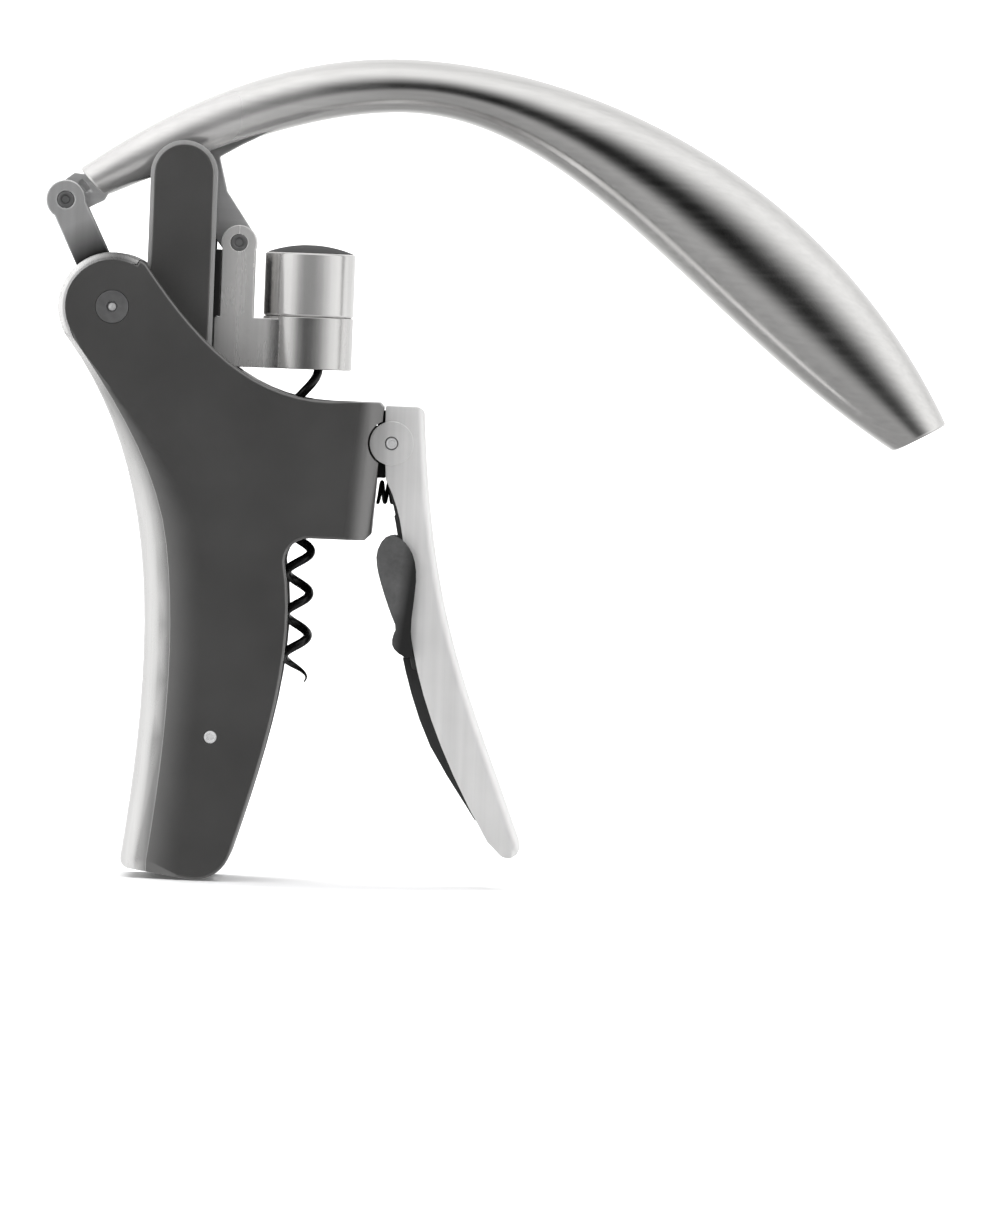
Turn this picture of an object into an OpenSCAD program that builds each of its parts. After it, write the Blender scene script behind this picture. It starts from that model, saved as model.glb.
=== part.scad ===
// Vertical lever corkscrew: a lever, two links and a sliding carriage drive a worm through a fixed nut,
// in a two-part housing that stands on the lip of a bottle and clamps its neck with a trigger.
// Millimetres. The origin is the lip stop on the worm axis, +Z is up, and the lever points along +X.

/* [Linkage] */
// Distance of the hump pivot behind the worm axis
hump_back = 44.3; // [43:0.1:46]
// Height of the hump pivot above the lip stop
hump_z = 48; // [46:0.1:50]
// Distance of the carriage pin behind the worm axis
pin_back = 16.3; // [15.8:0.1:17.5]
// Height of the carriage pin with the lever down
pin_z = 63.7; // [62:0.1:65]
// Link length between its pivots
link_len = 26.8; // [26:0.1:28]
// Lever arm between the link pin and the carriage pin
arm_len = 40.75; // [40:0.05:42]
// Lift of the carriage from lever down to lever up
lift = 38; // [34:0.5:39]
// Radius of the link and carriage pins
pin_r = 1.9; // [1.4:0.05:2.2]
// Thickness of each link plate
link_t = 2.3; // [1.8:0.1:2.6]
// Width of a link between its eyes
link_w = 7.8; // [6:0.1:8.4]
// Radius of a link's eyes
link_eye_r = 4.5; // [4.2:0.1:4.8]
// Room for the drift of the links' foot in the hump
foot_drift = 4.5; // [4.4:0.1:5]
// Radius of the hump's pivot screws
pivot_r = 1.75; // [1.5:0.05:2]
// Radius of the pivot screws' heads
pivot_head_r = 3.8; // [3:0.1:4.2]
// Depth of the pivot screws' heads
pivot_head_t = 1.5; // [1:0.1:2]
// Radius of the socket in the pivot screws' heads
pivot_socket_r = 1.4; // [1.2:0.1:1.8]

/* [Housing] */
// Overall width of the housing
body_w = 40; // [39:0.5:46]
// Radius of the hump over the link pivot
hump_r = 12.4; // [12:0.1:13.5]
// Height of the collar's top above the lip stop
collar_top = 28.4; // [27:0.1:30]
// Distance of the collar's front face from the worm axis at the lip stop
collar_front = 16.4; // [16.2:0.1:18]
// How far the collar's brow stands out past its foot
brow = 1.8; // [1:0.1:2.2]
// Depth of the collar's skirt below the lip stop
skirt = 2.9; // [2.4:0.1:4]
// Radius of the arch from the cradle into the collar's skirt
arch_r = 5.5; // [4:0.1:7]
// Radius of the collar's upright front corners
front_corner_r = 6; // [3:0.5:8]
// Depth of the grip below the lip stop
grip_depth = 81.4; // [76:0.1:90]
// Distance of the grip's heel behind the worm axis
heel_back = 38; // [37:0.1:40]
// Radius of the heel's corner
heel_r = 2.2; // [1.6:0.1:3]
// How much higher the heel ends than the toe
heel_lift = 1.9; // [0.5:0.1:3]
// Distance of the toe's centre behind the worm axis
toe_back = 21; // [20:0.1:22]
// Radius of the toe's corner
toe_r = 8.5; // [7:0.1:9.5]
// How far back the waist of the grip pulls its curve
waist_back = 31.75; // [31:0.05:33]
// Depth of the silver spine along the grip's back
spine_d = 5.9; // [4.8:0.1:6.6]
// Depth of the spine's rim round the hump
rim_d = 1.2; // [1:0.1:1.6]
// Distance of the side bevel's crease from the back edge
crease_d = 13.6; // [12:0.1:14.6]
// How far the side bevel falls away at the spine
bevel_drop = 2.6; // [1:0.1:4]
// How far the spine's corners fall away at the back edge
spine_round = 6; // [3:0.1:8]
// Radius of the lip socket
socket_r = 15; // [14.6:0.05:15.2]
// Radius of the nut's well in the collar
well_r = 12; // [11:0.1:12.6]
// Wall between the housing's hollows
wall = 2.4; // [2:0.1:3]

/* [Guide fins] */
// Width of a fin
fin_w = 15.3; // [14:0.1:15.6]
// Distance of the fins' front edge behind the worm axis
fin_front = 21.6; // [21.4:0.1:22]
// Gap between the two fins
fin_gap = 17.8; // [17.6:0.1:18.4]
// Thickness of a guide rail
rail_t = 2.1; // [1.8:0.1:2.6]
// Thickness of a fin cover
fin_cover_t = 2.4; // [1.6:0.1:2.8]
// Silver rim left showing round a fin cover
fin_rim = 0.9; // [0.5:0.1:1.4]
// Width of the track slot in a rail
track_w = 4; // [3:0.1:5]
// Material above the track
fin_crown = 6.8; // [5:0.1:8]
// Height of the rails' feet above the lip stop
rail_foot = 31; // [30:0.1:32]

/* [Carriage] */
// Radius of the carriage ring and its cap
ring_r = 10.3; // [9.8:0.1:10.8]
// Height of the carriage's underside with the lever down
ring_z = 35.4; // [34.8:0.1:36.5]
// Height of the carriage base
base_h = 11.3; // [10.5:0.1:12]
// Height of the carriage ring
ring_h = 11.9; // [11.4:0.1:13]
// Height of the cap up to its dome
cap_h = 14.4; // [12:0.1:16]
// Height of the cap's dome
dome_h = 2; // [1:0.1:3]
// Radius of a cheek's round top
cheek_r = 4; // [3.6:0.1:4.2]
// Width of a cheek
cheek_w = 7.5; // [7:0.1:8]
// Outer width across the cheeks
cheeks_w = 16; // [15:0.1:16.6]
// Height of the guide slider
slider_h = 26; // [24:0.5:27]
// Height of the slider's track lugs
lug_h = 6; // [5:0.1:7]

/* [Worm and nut] */
// Radius of the worm's wire
wire_r = 1.05; // [0.9:0.05:1.2]
// Radius of the worm's path
helix_r = 2.75; // [2.5:0.05:3]
// Rise of the worm in one turn
pitch = 9.6; // [8.6:0.1:10.6]
// Height of the worm's point above the lip stop with the lever up
point_up = 2; // [0.5:0.1:4]
// Radius of the worm's shank in its bearing
shank_r = 4.2; // [3.8:0.1:4.8]
// Radius of the worm's head flange
flange_r = 7.2; // [6.5:0.1:7.6]
// Height of the worm's head flange
flange_h = 3; // [2:0.1:4]
// Thickness of the thrust washer
washer_t = 1; // [0.6:0.1:1.5]
// Thickness of the lip seat
seat_t = 3; // [2.5:0.1:4]
// Radius of the hole in the lip seat
seat_hole_r = 6.5; // [5.5:0.1:8]
// Radius of the follower pins in the nut
follower_r = 1.2; // [0.9:0.05:1.4]
// How close the follower pins come to the worm axis
follower_reach = 1.7; // [1.5:0.1:2]

/* [Lever] */
// How far the lever reaches in front of the worm axis
lever_reach = 146.6; // [140:0.1:150]
// Height of the lever's crown above the lip stop
lever_crown = 107; // [105:0.1:109]
// Distance of the lever's crown in front of the worm axis
crown_x = 20; // [17:0.1:23]
// Depth of the handle at its crown
crown_t = 12.3; // [11:0.1:13.5]
// Height of the tip's upper corner above the lip stop
tip_z = 28.3; // [26:0.1:31]
// Length of the straight cut at the tip
tip_cut = 13.5; // [12:0.1:15]
// Distance of the handle's rear face from the link pin
handle_clear = 7; // [6.6:0.1:7.5]
// Depth of the handle at its rear face
handle_rear_t = 8.4; // [8:0.1:9.5]
// Thickness of the lever's steel core plate
core_t = 6.8; // [6:0.1:7]
// Radius of the core plate's ends round its pins
core_end_r = 4; // [3.6:0.1:4.1]
// How far the core plate shows below the handle
core_show = 1.5; // [0.8:0.1:2]
// Depth of the pocket in each side of the core's block
core_pocket = 1.2; // [0.6:0.1:2]
// Half width of the handle at the shoulder
handle_rear_w = 6.4; // [5.5:0.1:7]
// Half width of the handle at the crown of its arch
handle_mid_w = 9.2; // [8:0.1:10]
// Half width that the handle's swell reaches for
handle_swell_w = 16; // [13:0.5:18]
// Half width of the handle at its tip
handle_tip_w = 8.4; // [7:0.1:10]

/* [Trigger] */
// How far the trigger's tip reaches in front of the worm axis
trigger_reach = 52.9; // [50:0.1:56]
// Depth of the trigger's tip below the lip stop
trigger_depth = 71; // [66:0.1:76]
// Height of the trigger's top above the lip stop
trigger_top = 27.8; // [26.5:0.1:28.2]
// Width of the trigger's tip in the side view
trigger_tip_w = 7.5; // [6:0.1:9]
// Distance of the jaw pad's nose from the worm axis
jaw_x = 17.8; // [17.4:0.1:18.6]
// Length of the jaw pad
jaw_len = 27.6; // [25:0.1:29]
// Distance of the trigger pivot in front of the worm axis
trigger_x = 20.2; // [20:0.1:20.6]
// Height of the trigger pivot above the lip stop
trigger_z = 19.3; // [18.5:0.1:20]
// Radius of the trigger's pivot lugs
trigger_lug_r = 5; // [4.6:0.1:5.2]
// How far the lugs stand out of the trigger's cheeks
lug_step = 0.3; // [0.2:0.1:0.5]
// Radius of the trigger pin
trigger_pin_r = 1.5; // [1.2:0.05:2]
// Overall width of the trigger
trigger_w = 21; // [20:0.1:24]
// Thickness of the trigger's cheeks
trigger_cheek_t = 3; // [2.4:0.1:3.2]
// Thickness of the trigger's web
trigger_web_t = 2.3; // [1.8:0.1:2.8]
// How far the dark liner stands out of the trigger
liner_show = 2.8; // [1.5:0.1:3.4]
// Thickness of the housing ears that carry the trigger
ear_t = 2.8; // [2.2:0.1:3]
// Width of the jaw pad
jaw_w = 25; // [24.5:0.1:28]
// Depth of the jaw pad's hollow face
jaw_depth = 3; // [1:0.1:4]
// Radius of the jaw pad's hollow face
jaw_hollow_r = 24; // [18:0.5:30]
// Radius of the return spring's wire
spring_wire_r = 0.5; // [0.35:0.05:0.6]
// Radius of the return spring's path
spring_r = 2.6; // [2.2:0.1:2.8]
// Number of curls in the return spring
spring_curls = 5; // [4:1:6]
// Height of the return spring above the lip stop
spring_z = 8; // [7:0.1:9]

/* [Clearances] */
// Radial clearance of pins and shafts in their bores
pin_clear = 0.04; // [0.02:0.01:0.08]
// Gap between pieces that slide past each other
slide_gap = 0.3; // [0.25:0.05:0.4]
// Gap between pieces of one body that are fitted together
seat_gap = 0.05; // [0.02:0.01:0.1]

/* [Hidden] */
$fn = 64;
far = 200;

// Pivots, as points of the side view
hump_p = [-hump_back, hump_z];
carriage_p = [-pin_back, pin_z];
link_p = meet(hump_p, link_len, carriage_p, arm_len);
trigger_p = [trigger_x, trigger_z];
rivet_p = [-0.873 * toe_back, -0.6 * grip_depth];

// Half widths, from the middle plane outwards
half_w = body_w / 2;
core_y = core_t / 2;
link_y = core_y + slide_gap;
channel_y = fin_gap / 2;
rail_y = channel_y + rail_t;
fin_y = rail_y + fin_cover_t;
slider_y = channel_y - slide_gap;
cheek_y = core_y + slide_gap + 0.1;
slot_y = link_y + link_t + slide_gap;
trigger_y = trigger_w / 2;
trigger_in_y = trigger_y - trigger_cheek_t;
ear_out_y = trigger_in_y - slide_gap;
ear_in_y = ear_out_y - ear_t;

// Heights and reaches
base_top = ring_z + base_h;
ring_top = ring_z + ring_h;
track_bottom = ring_z - slide_gap;
track_top = ring_z + lug_h + lift + slide_gap;
fin_top = track_top + fin_crown;
fin_back = fin_front + fin_w;
track_mid = fin_front + fin_w / 2;
channel_floor = ring_z - 3 * slide_gap;
slider_back = fin_back - 2.9;
base_back = fin_front - slide_gap;
slider_front = pin_back + cheek_w / 2 + seat_gap;
slider_low = ring_z + 2 * slide_gap;
worm_tip = point_up - lift;
worm_r = helix_r + wire_r;
nut_r = well_r - seat_gap;
nut_top = collar_top - 2;
nut_bore_r = worm_r + 0.45;
foot_room_r = link_eye_r + foot_drift + slide_gap;
slot_reach = hump_r - rim_d + slide_gap;
neck_r = socket_r + 1.3;
liner_r = socket_r + 0.2;

// Round arc of points about a centre
function arc(c, r, a0, a1, n) = [
    for (i = [0:n])
    let (a = a0 + (a1 - a0) * i / n)
    c + r * [cos(a), sin(a)]
];
// Point of a cubic curve at t
function cubic(p, t) =
    pow(1 - t, 3) * p[0] + 3 * t * pow(1 - t, 2) * p[1] + 3 * t * t * (1 - t) * p[2] + pow(t, 3) * p[3];
// Points along a cubic curve
function curve(p, n) = [for (i = [0:n]) cubic(p, i / n)];
// Upper left crossing of two circles
function meet(p, rp, q, rq) =
    let (d = norm(q - p), a = (rp * rp - rq * rq + d * d) / (2 * d), u = (q - p) / d)
    p + a * u + sqrt(rp * rp - a * a) * [-u.y, u.x];
// A smooth step from 0 at a to 1 at b
function ease(a, b, t) = let (u = max(0, min(1, (t - a) / (b - a)))) u * u * (3 - 2 * u);
function mix(a, b, t) = a + (b - a) * t;
function turned(l) = [for (i = [len(l) - 1:-1:0]) l[i]];
function last(l) = l[len(l) - 1];

// Side-view slab of a flat shape between two values of Y
module slab(y0, y1) {
    translate([0, y1, 0]) rotate([90, 0, 0]) linear_extrude(y1 - y0) children();
}
// Round bar along Y
module bar_y(p, r, y0, y1) {
    translate([p.x, y1, p.y]) rotate([90, 0, 0]) cylinder(r = r, h = y1 - y0);
}
// The same shape on both sides of the middle plane
module both_sides() {
    children();
    mirror([0, 1, 0]) children();
}
// Closed loft through rings of equal length, which run right-handed about the way they are stacked
module loft(rings) {
    n = len(rings[0]);
    m = len(rings);
    sides = [
        for (i = [0:m - 2]) for (j = [0:n - 1])
        each let (a = i * n + j, b = i * n + (j + 1) % n) [[a, a + n, b], [b, a + n, b + n]]
    ];
    caps = [[for (j = [0:n - 1]) j], [for (j = [n - 1:-1:0]) (m - 1) * n + j]];
    polyhedron([for (r = rings) each r], concat(sides, caps), convexity = 10);
}

// Cubic edge whose inner points lie at shares of the way from each end
function edge(a, b, u, v) =
    let (d = b - a)
    [a, a + [d.x * u.x, d.y * u.y], b - [d.x * v.x, d.y * v.y], b];

// Trigger edges in the side view, from its top to its tip
tip_out = [trigger_reach, -trigger_depth];
tip_in = tip_out + [-trigger_tip_w, 0.4];
trigger_out = edge([trigger_x + 1.44 * trigger_lug_r, trigger_top], tip_out, [0.114, 0.5], [0.5, 0.342]);
trigger_in = edge(trigger_p - trigger_lug_r * [0.2, 1.66], tip_in, [0.4, 0.23], [1.1, 0.58]);
trigger_back = trigger_x - 0.32 * trigger_lug_r;
tip_r = 0.36 * trigger_tip_w;
tip_p = tip_out - [tip_r, 0.07 * trigger_tip_w];
function trigger_edge(t) = cubic(trigger_out, t);

// Housing outline in the side view
back_angle = 217;
back_steps = 20;
back_curve = [
    [-heel_back, heel_lift + heel_r - grip_depth],
    [-waist_back, -0.37 * grip_depth],
    [-waist_back, 0.25 * hump_z],
    hump_p + hump_r * [cos(back_angle), sin(back_angle)]
];
toe_angle = -17;
toe_p = [-toe_back, toe_r - grip_depth];
toe_end = toe_p + toe_r * [cos(toe_angle), sin(toe_angle)];
arch_p = [0.15 * collar_front, -skirt - arch_r];
neck_curve = [
    toe_end,
    toe_end + 0.3 * grip_depth * [-sin(toe_angle), cos(toe_angle)],
    [0.05 * collar_front, -0.344 * grip_depth],
    arch_p - [arch_r, 0]
];
skirt_r = skirt / 2;
saddle_end = 54;
saddle_curve = edge(
    [0.37 * collar_front, collar_top],
    hump_p + hump_r * [cos(saddle_end), sin(saddle_end)],
    [0.42, 0.007],
    [0.3, 0.61]
);
brow_front = collar_front + brow;
heel_p = [heel_r - heel_back, heel_lift + heel_r - grip_depth];
// The front is left open here, for the collar's plan to cut
body_outline = concat(
    turned(curve(back_curve, back_steps)),
    arc(heel_p, heel_r, 180, 258, 4),
    arc(toe_p, toe_r, 262, 360 + toe_angle, 9),
    curve(neck_curve, 12),
    arc(arch_p, arch_r, 180, 90, 6),
    [[collar_front - skirt_r, -skirt], [collar_front + 3, 3 - skirt + skirt_r]],
    [[brow_front + 2, collar_top - 3], [brow_front - 1, collar_top]],
    curve(saddle_curve, 14),
    arc(hump_p, hump_r, saddle_end, back_angle, 24)
);

// How much of the spine and bevel is left at t along the back, from the heel to the hump
function back_share(t) = 1 - ease(0.55, 0.97, t);
function spine_at(t) = mix(rim_d, spine_d, back_share(t));

// Plan section of what is cut away beside the spine, where the back edge is at x and the height is z
function corner_ring(x, z, share) =
    let (
        d = mix(rim_d, spine_d, share),
        edge = half_w - mix(0.4, bevel_drop, share),
        drop = mix(1, spine_round, share),
        crease = mix(rim_d + 0.4, crease_d, share),
        past = 1.4,
        round = [for (i = [0:4]) [x + d * (1 - cos(22.5 * i)), edge - drop * (1 - sin(22.5 * i))]],
        start = mix(round[0], round[1], -0.5),
        out = mix(edge, half_w, past)
    )
    [
        for (p = concat(
            [start],
            [for (i = [1:4]) round[i]],
            [[mix(x + d, x + crease, past), out], [x - 6, out], [x - 6, start.y]]
        ))
        [p.x, p.y, z]
    ];
// What is cut away along one back corner of the housing: the spine's rounding and the side bevel
module back_corner() {
    stations = curve(back_curve, back_steps);
    low = stations[0];
    left = last(stations) + 0.2 * (back_curve[3] - back_curve[2]) - [4, 0];
    loft(concat(
        [corner_ring(low.x, -grip_depth - 2, 1)],
        [for (i = [0:back_steps]) corner_ring(stations[i].x, stations[i].y, back_share(i / back_steps))],
        [corner_ring(left.x, left.y, 0)]
    ));
}

// Leaning column with the collar's rounded front corners
module collar_column() {
    lean = atan(brow / collar_top);
    r = front_corner_r;
    rotate([0, lean, 0]) translate([0, 0, -far]) linear_extrude(2 * far) {
        translate([-far, r - half_w]) square([far + collar_front, body_w - 2 * r]);
        translate([-far, -half_w]) square([far + collar_front - r, body_w]);
        for (y = [r - half_w, half_w - r]) translate([collar_front - r, y]) circle(r = r);
    }
}
// Housing form: side outline trimmed to the collar's plan, with its back corners cut away
module housing_form() {
    difference() {
        intersection() {
            slab(-half_w - 3, half_w + 3) polygon(body_outline);
            collar_column();
        }
        both_sides() back_corner();
    }
}
// Everything in front of the spine and inside the rim
module core_region() {
    inset = [
        for (i = [0:back_steps])
        cubic(back_curve, i / back_steps) + [spine_at(i / back_steps) + 0.2, 0]
    ];
    rim_end = 62;
    u = [cos(rim_end), sin(rim_end)];
    slab(-half_w - 2, half_w + 2) polygon(concat(
        [[inset[0].x, -far], [far, -far], [far, far], hump_p + far * u],
        arc(hump_p, hump_r - rim_d, rim_end, back_angle, 24),
        turned(inset)
    ));
}
// Spaces in the housing for what moves and what is fitted
module housing_hollows() {
    // Pocket for the fins
    translate([-fin_back - seat_gap, -fin_y - seat_gap, rail_foot])
        cube([fin_w + 2 * seat_gap, 2 * (fin_y + seat_gap), far]);
    // Channel for the carriage
    translate([-fin_back, -channel_y, channel_floor]) cube([fin_back, 2 * channel_y, far]);
    // Room for the links' feet and the slot that the links swing in
    bar_y(hump_p, foot_room_r, -channel_y, channel_y);
    translate([-hump_back - slot_reach, -slot_y, hump_z])
        cube([slot_reach + hump_back - fin_back + wall, 2 * slot_y, far]);
    // Well, lip seat, socket and cradle round the worm axis
    translate([0, 0, seat_t]) cylinder(r = well_r, h = far);
    translate([0, 0, -skirt - arch_r]) cylinder(r = socket_r, h = skirt + arch_r + seat_t);
    translate([0, 0, -far]) cylinder(r = neck_r, h = far - skirt - arch_r + 2);
    // Notch round the trigger's lugs
    bar_y(trigger_p, trigger_lug_r + slide_gap + 0.1, -far, far);
    // Hollow of the grip
    slab(wall - half_w + bevel_drop, half_w - wall - bevel_drop) difference() {
        polygon([
            [-waist_back + spine_d + 0.4, -skirt - 2 * arch_r],
            [-waist_back + spine_d + 0.4, wall + 4 - grip_depth],
            [-neck_r - wall, wall + 4 - grip_depth],
            [-neck_r - wall, -skirt - 2 * arch_r]
        ]);
        translate(rivet_p) circle(r = 4.2);
    }
    // Holes for the fasteners
    bar_y(rivet_p, trigger_pin_r + pin_clear, -far, far);
    bar_y(hump_p, pivot_r + pin_clear, -far, far);
    both_sides() bar_y(hump_p, pivot_head_r + seat_gap, half_w - pivot_head_t, far);
}
module cover(side) {
    difference() {
        intersection() {
            housing_form();
            core_region();
            translate([-far, side > 0 ? 0 : -far, -far]) cube([2 * far, far, 2 * far]);
        }
        housing_hollows();
    }
    // Ear for the trigger pin
    ear_low = side > 0 ? ear_in_y : -ear_out_y;
    slab(ear_low, ear_low + ear_t) difference() {
        union() {
            translate(trigger_p) circle(r = 3.8);
            translate([well_r + 0.6, trigger_z - 3.8]) square([trigger_x - well_r - 0.6, 7.6]);
        }
        translate(trigger_p) circle(r = trigger_pin_r + pin_clear);
    }
}

module front_cover() { color("#4a4a4c") cover(-1); }
module rear_cover() { color("#4a4a4c") cover(1); }
module back_spine() {
    color("#d8d8da") difference() {
        housing_form();
        core_region();
        housing_hollows();
    }
}

// Fin outline with its edges drawn in
module fin_shape(inset) {
    w = fin_w - 2 * inset;
    top_r = w / 2;
    mid = -fin_front - fin_w / 2;
    translate([mid, fin_top - inset - top_r]) circle(r = top_r);
    translate([mid - w / 2, rail_foot]) square([w, fin_top - inset - top_r - rail_foot]);
}
module rail() {
    slab(channel_y, rail_y) difference() {
        fin_shape(0);
        translate([-track_mid - track_w / 2, track_bottom]) square([track_w, track_top - track_bottom]);
    }
}
module fin_cover() { slab(rail_y, fin_y) fin_shape(fin_rim); }
module front_rail() { color("#d8d8da") mirror([0, 1, 0]) rail(); }
module rear_rail() { color("#d8d8da") rail(); }
module front_fin_cover() { color("#4a4a4c") mirror([0, 1, 0]) fin_cover(); }
module rear_fin_cover() { color("#4a4a4c") fin_cover(); }

module lip_seat() {
    color("#1c1c1e") difference() {
        cylinder(r = socket_r - seat_gap, h = seat_t);
        translate([0, 0, -1]) cylinder(r = seat_hole_r, h = seat_t + 2);
    }
}

// Follower pins lie half a turn from the wire at their own height
follower_z = seat_t + pitch;
// The wire winds at the pitch up to the collar's top, then stretches into the ring
bend_z = collar_top + 0.6;
function worm_angle(z) =
    let (bend = (bend_z - ring_z) / (2 * pitch))
    360 * (z > bend_z ? (z - ring_z) / (2 * pitch) : bend + (z - bend_z) / pitch);
module follower(z, grow) {
    translate([0, 0, z]) rotate([0, 0, worm_angle(z) + 180]) rotate([0, 90, 0])
        translate([0, 0, follower_reach]) cylinder(r = follower_r + grow, h = nut_r - 2 - follower_reach);
}
module worm_nut() {
    color("#1c1c1e") difference() {
        union() {
            translate([0, 0, seat_t]) cylinder(r = nut_r, h = nut_top - 3 - seat_t);
            translate([0, 0, seat_t]) cylinder(r = (nut_r + nut_bore_r) / 2, h = nut_top - seat_t);
        }
        translate([0, 0, -1]) cylinder(r = nut_bore_r, h = far);
        for (k = [0, 1]) follower(follower_z + k * pitch / 2, pin_clear);
    }
}
module nut_followers() {
    color("#9a9a9c") for (k = [0, 1]) follower(follower_z + k * pitch / 2, 0);
}
module neck_liner() {
    color("#2a2a2c") intersection() {
        translate([0, 0, -grip_depth]) difference() {
            cylinder(r = neck_r - seat_gap, h = grip_depth - skirt - arch_r);
            translate([0, 0, -1]) cylinder(r = liner_r, h = far);
        }
        slab(-far, far) translate([-0.8, 0]) polygon(body_outline);
        translate([-far, -far, 1.3 * toe_r - grip_depth]) cube(2 * far);
    }
}
module pivot_screws() {
    color("#5a5a5c") both_sides() difference() {
        union() {
            bar_y(hump_p, pivot_r, channel_y + slide_gap, half_w - pivot_head_t / 2);
            bar_y(hump_p, pivot_head_r, half_w - pivot_head_t, half_w);
        }
        translate([hump_p.x, half_w + 1, hump_p.y]) rotate([90, 0, 0])
            cylinder(r = pivot_socket_r, h = 1 + pivot_head_t / 2, $fn = 6);
    }
}
module grip_rivet() { color("#c8c8ca") bar_y(rivet_p, trigger_pin_r, -half_w, half_w); }
module trigger_pin() {
    color("#c8c8ca") bar_y(trigger_p, trigger_pin_r, -trigger_y - lug_step, trigger_y + lug_step);
}

// Points along a coil that rises along +Z
coil_steps = 8;
function coil_at(r, wire, length, curls, i) =
    let (a = 360 * i / coil_steps)
    [r * cos(a), r * sin(a), wire + (length - 2 * wire) * i / (curls * coil_steps)];
module coil(r, wire, length, curls) {
    sides = 6;
    loft([
        for (i = [0:curls * coil_steps])
        let (
            p = coil_at(r, wire, length, curls, i),
            ahead = coil_at(r, wire, length, curls, i + 0.5) - coil_at(r, wire, length, curls, i - 0.5),
            out = [cos(360 * i / coil_steps), sin(360 * i / coil_steps), 0],
            up = cross(ahead / norm(ahead), out)
        )
        [for (j = [0:sides - 1]) p + wire * (cos(360 * j / sides) * out + sin(360 * j / sides) * up)]
    ]);
}
spring_x0 = collar_front + brow * spring_z / collar_top + seat_gap;
// The spring ends on the web, measured at the height of its top
spring_top = spring_z + spring_r + spring_wire_r;
web_table = [for (i = [0:20]) let (p = trigger_edge(i / 20)) [-p.y, p.x]];
spring_x1 = lookup(-spring_top, web_table) - trigger_web_t - slide_gap;
spring_len = spring_x1 - spring_x0;
spring_points = [
    for (i = [0:spring_curls * coil_steps]) coil_at(spring_r, spring_wire_r, spring_len, spring_curls, i)
];
echo(spring_gap = least_gap(spring_points, coil_steps, spring_wire_r));
module trigger_spring() {
    color("#1c1c1e") translate([spring_x0, 0, spring_z]) rotate([0, 90, 0])
        coil(spring_r, spring_wire_r, spring_len, spring_curls);
}

// Carriage: two cheeks on a base block that joins the worm's ring
module carriage() {
    color("#c4c4c6") difference() {
        union() {
            both_sides() slab(cheek_y, cheeks_w / 2) {
                translate(carriage_p) circle(r = cheek_r);
                translate([carriage_p.x - cheek_w / 2, ring_z]) square([cheek_w, pin_z - ring_z]);
            }
            slab(-cheeks_w / 2, cheeks_w / 2) translate([-base_back, ring_z]) square([base_back, base_h]);
            translate([0, 0, ring_z]) cylinder(r = ring_r, h = ring_h);
        }
        translate([0, 0, ring_z - 1]) cylinder(r = shank_r + pin_clear, h = ring_h + 2);
        bar_y(carriage_p, pin_r + pin_clear, -far, far);
    }
}
module carriage_cap() {
    dome_r = (ring_r * ring_r + dome_h * dome_h) / (2 * dome_h);
    dome = asin(ring_r / dome_r);
    z1 = ring_top + cap_h;
    color("#c4c4c6") difference() {
        rotate_extrude() polygon(concat(
            [[0, ring_top], [ring_r - 0.4, ring_top], [ring_r, ring_top + 0.4]],
            arc([0, z1 + dome_h - dome_r], dome_r, 90 - dome, 90, 8)
        ));
        translate([0, 0, ring_top - 1]) cylinder(r = flange_r + 0.6, h = washer_t + flange_h + 3);
    }
}
module thrust_washer() {
    color("#b08d4a") translate([0, 0, ring_top]) difference() {
        cylinder(r = flange_r, h = washer_t);
        translate([0, 0, -1]) cylinder(r = shank_r + 0.3, h = washer_t + 2);
    }
}
// Guide slider: a block behind the base, two tall walls that clear the lever's leg, and lugs in the tracks
module guide_slider() {
    step = base_top + seat_gap;
    color("#1c1c1e") {
        slab(-slider_y, slider_y) translate([-slider_back, slider_low])
            square([slider_back - base_back - seat_gap, slider_h - 10]);
        slab(-slider_y, slider_y) translate([-slider_back, step])
            square([slider_back - slider_front, slider_low + slider_h - 10 - step]);
        both_sides() slab(cheek_y, slider_y) translate([-slider_back, step])
            square([slider_back - slider_front, slider_low + slider_h - step]);
        both_sides() slab(slider_y - 1, rail_y - slide_gap)
            translate([slide_gap - track_mid - track_w / 2, slider_low])
            square([track_w - 2 * slide_gap, lug_h - 2 * slide_gap]);
    }
}
module carriage_pin() { color("#8a8a8c") bar_y(carriage_p, pin_r, -cheeks_w / 2, cheeks_w / 2); }

// Worm: one unbroken wire from its point into the shank, with the head flange above
worm_top = ring_z + 2;
worm_steps = ceil((worm_top - worm_tip) / pitch * 14);
worm_sides = 8;
function worm_at(i) =
    let (z = mix(worm_tip, worm_top, i / worm_steps), a = worm_angle(z))
    [helix_r * cos(a), helix_r * sin(a), z];
function worm_ring(i) =
    let (
        t = i / worm_steps,
        p = worm_at(i),
        out = [cos(worm_angle(p.z)), sin(worm_angle(p.z)), 0],
        ahead = worm_at(i + 0.5) - worm_at(i - 0.5),
        up = cross(ahead / norm(ahead), out),
        thin = mix(0.12, 1, ease(0, 0.09, t))
    )
    [
        for (j = [0:worm_sides - 1])
        let (a = 360 * j / worm_sides)
        p + thin * wire_r * (cos(a) * out + sin(a) * up)
    ];
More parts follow.
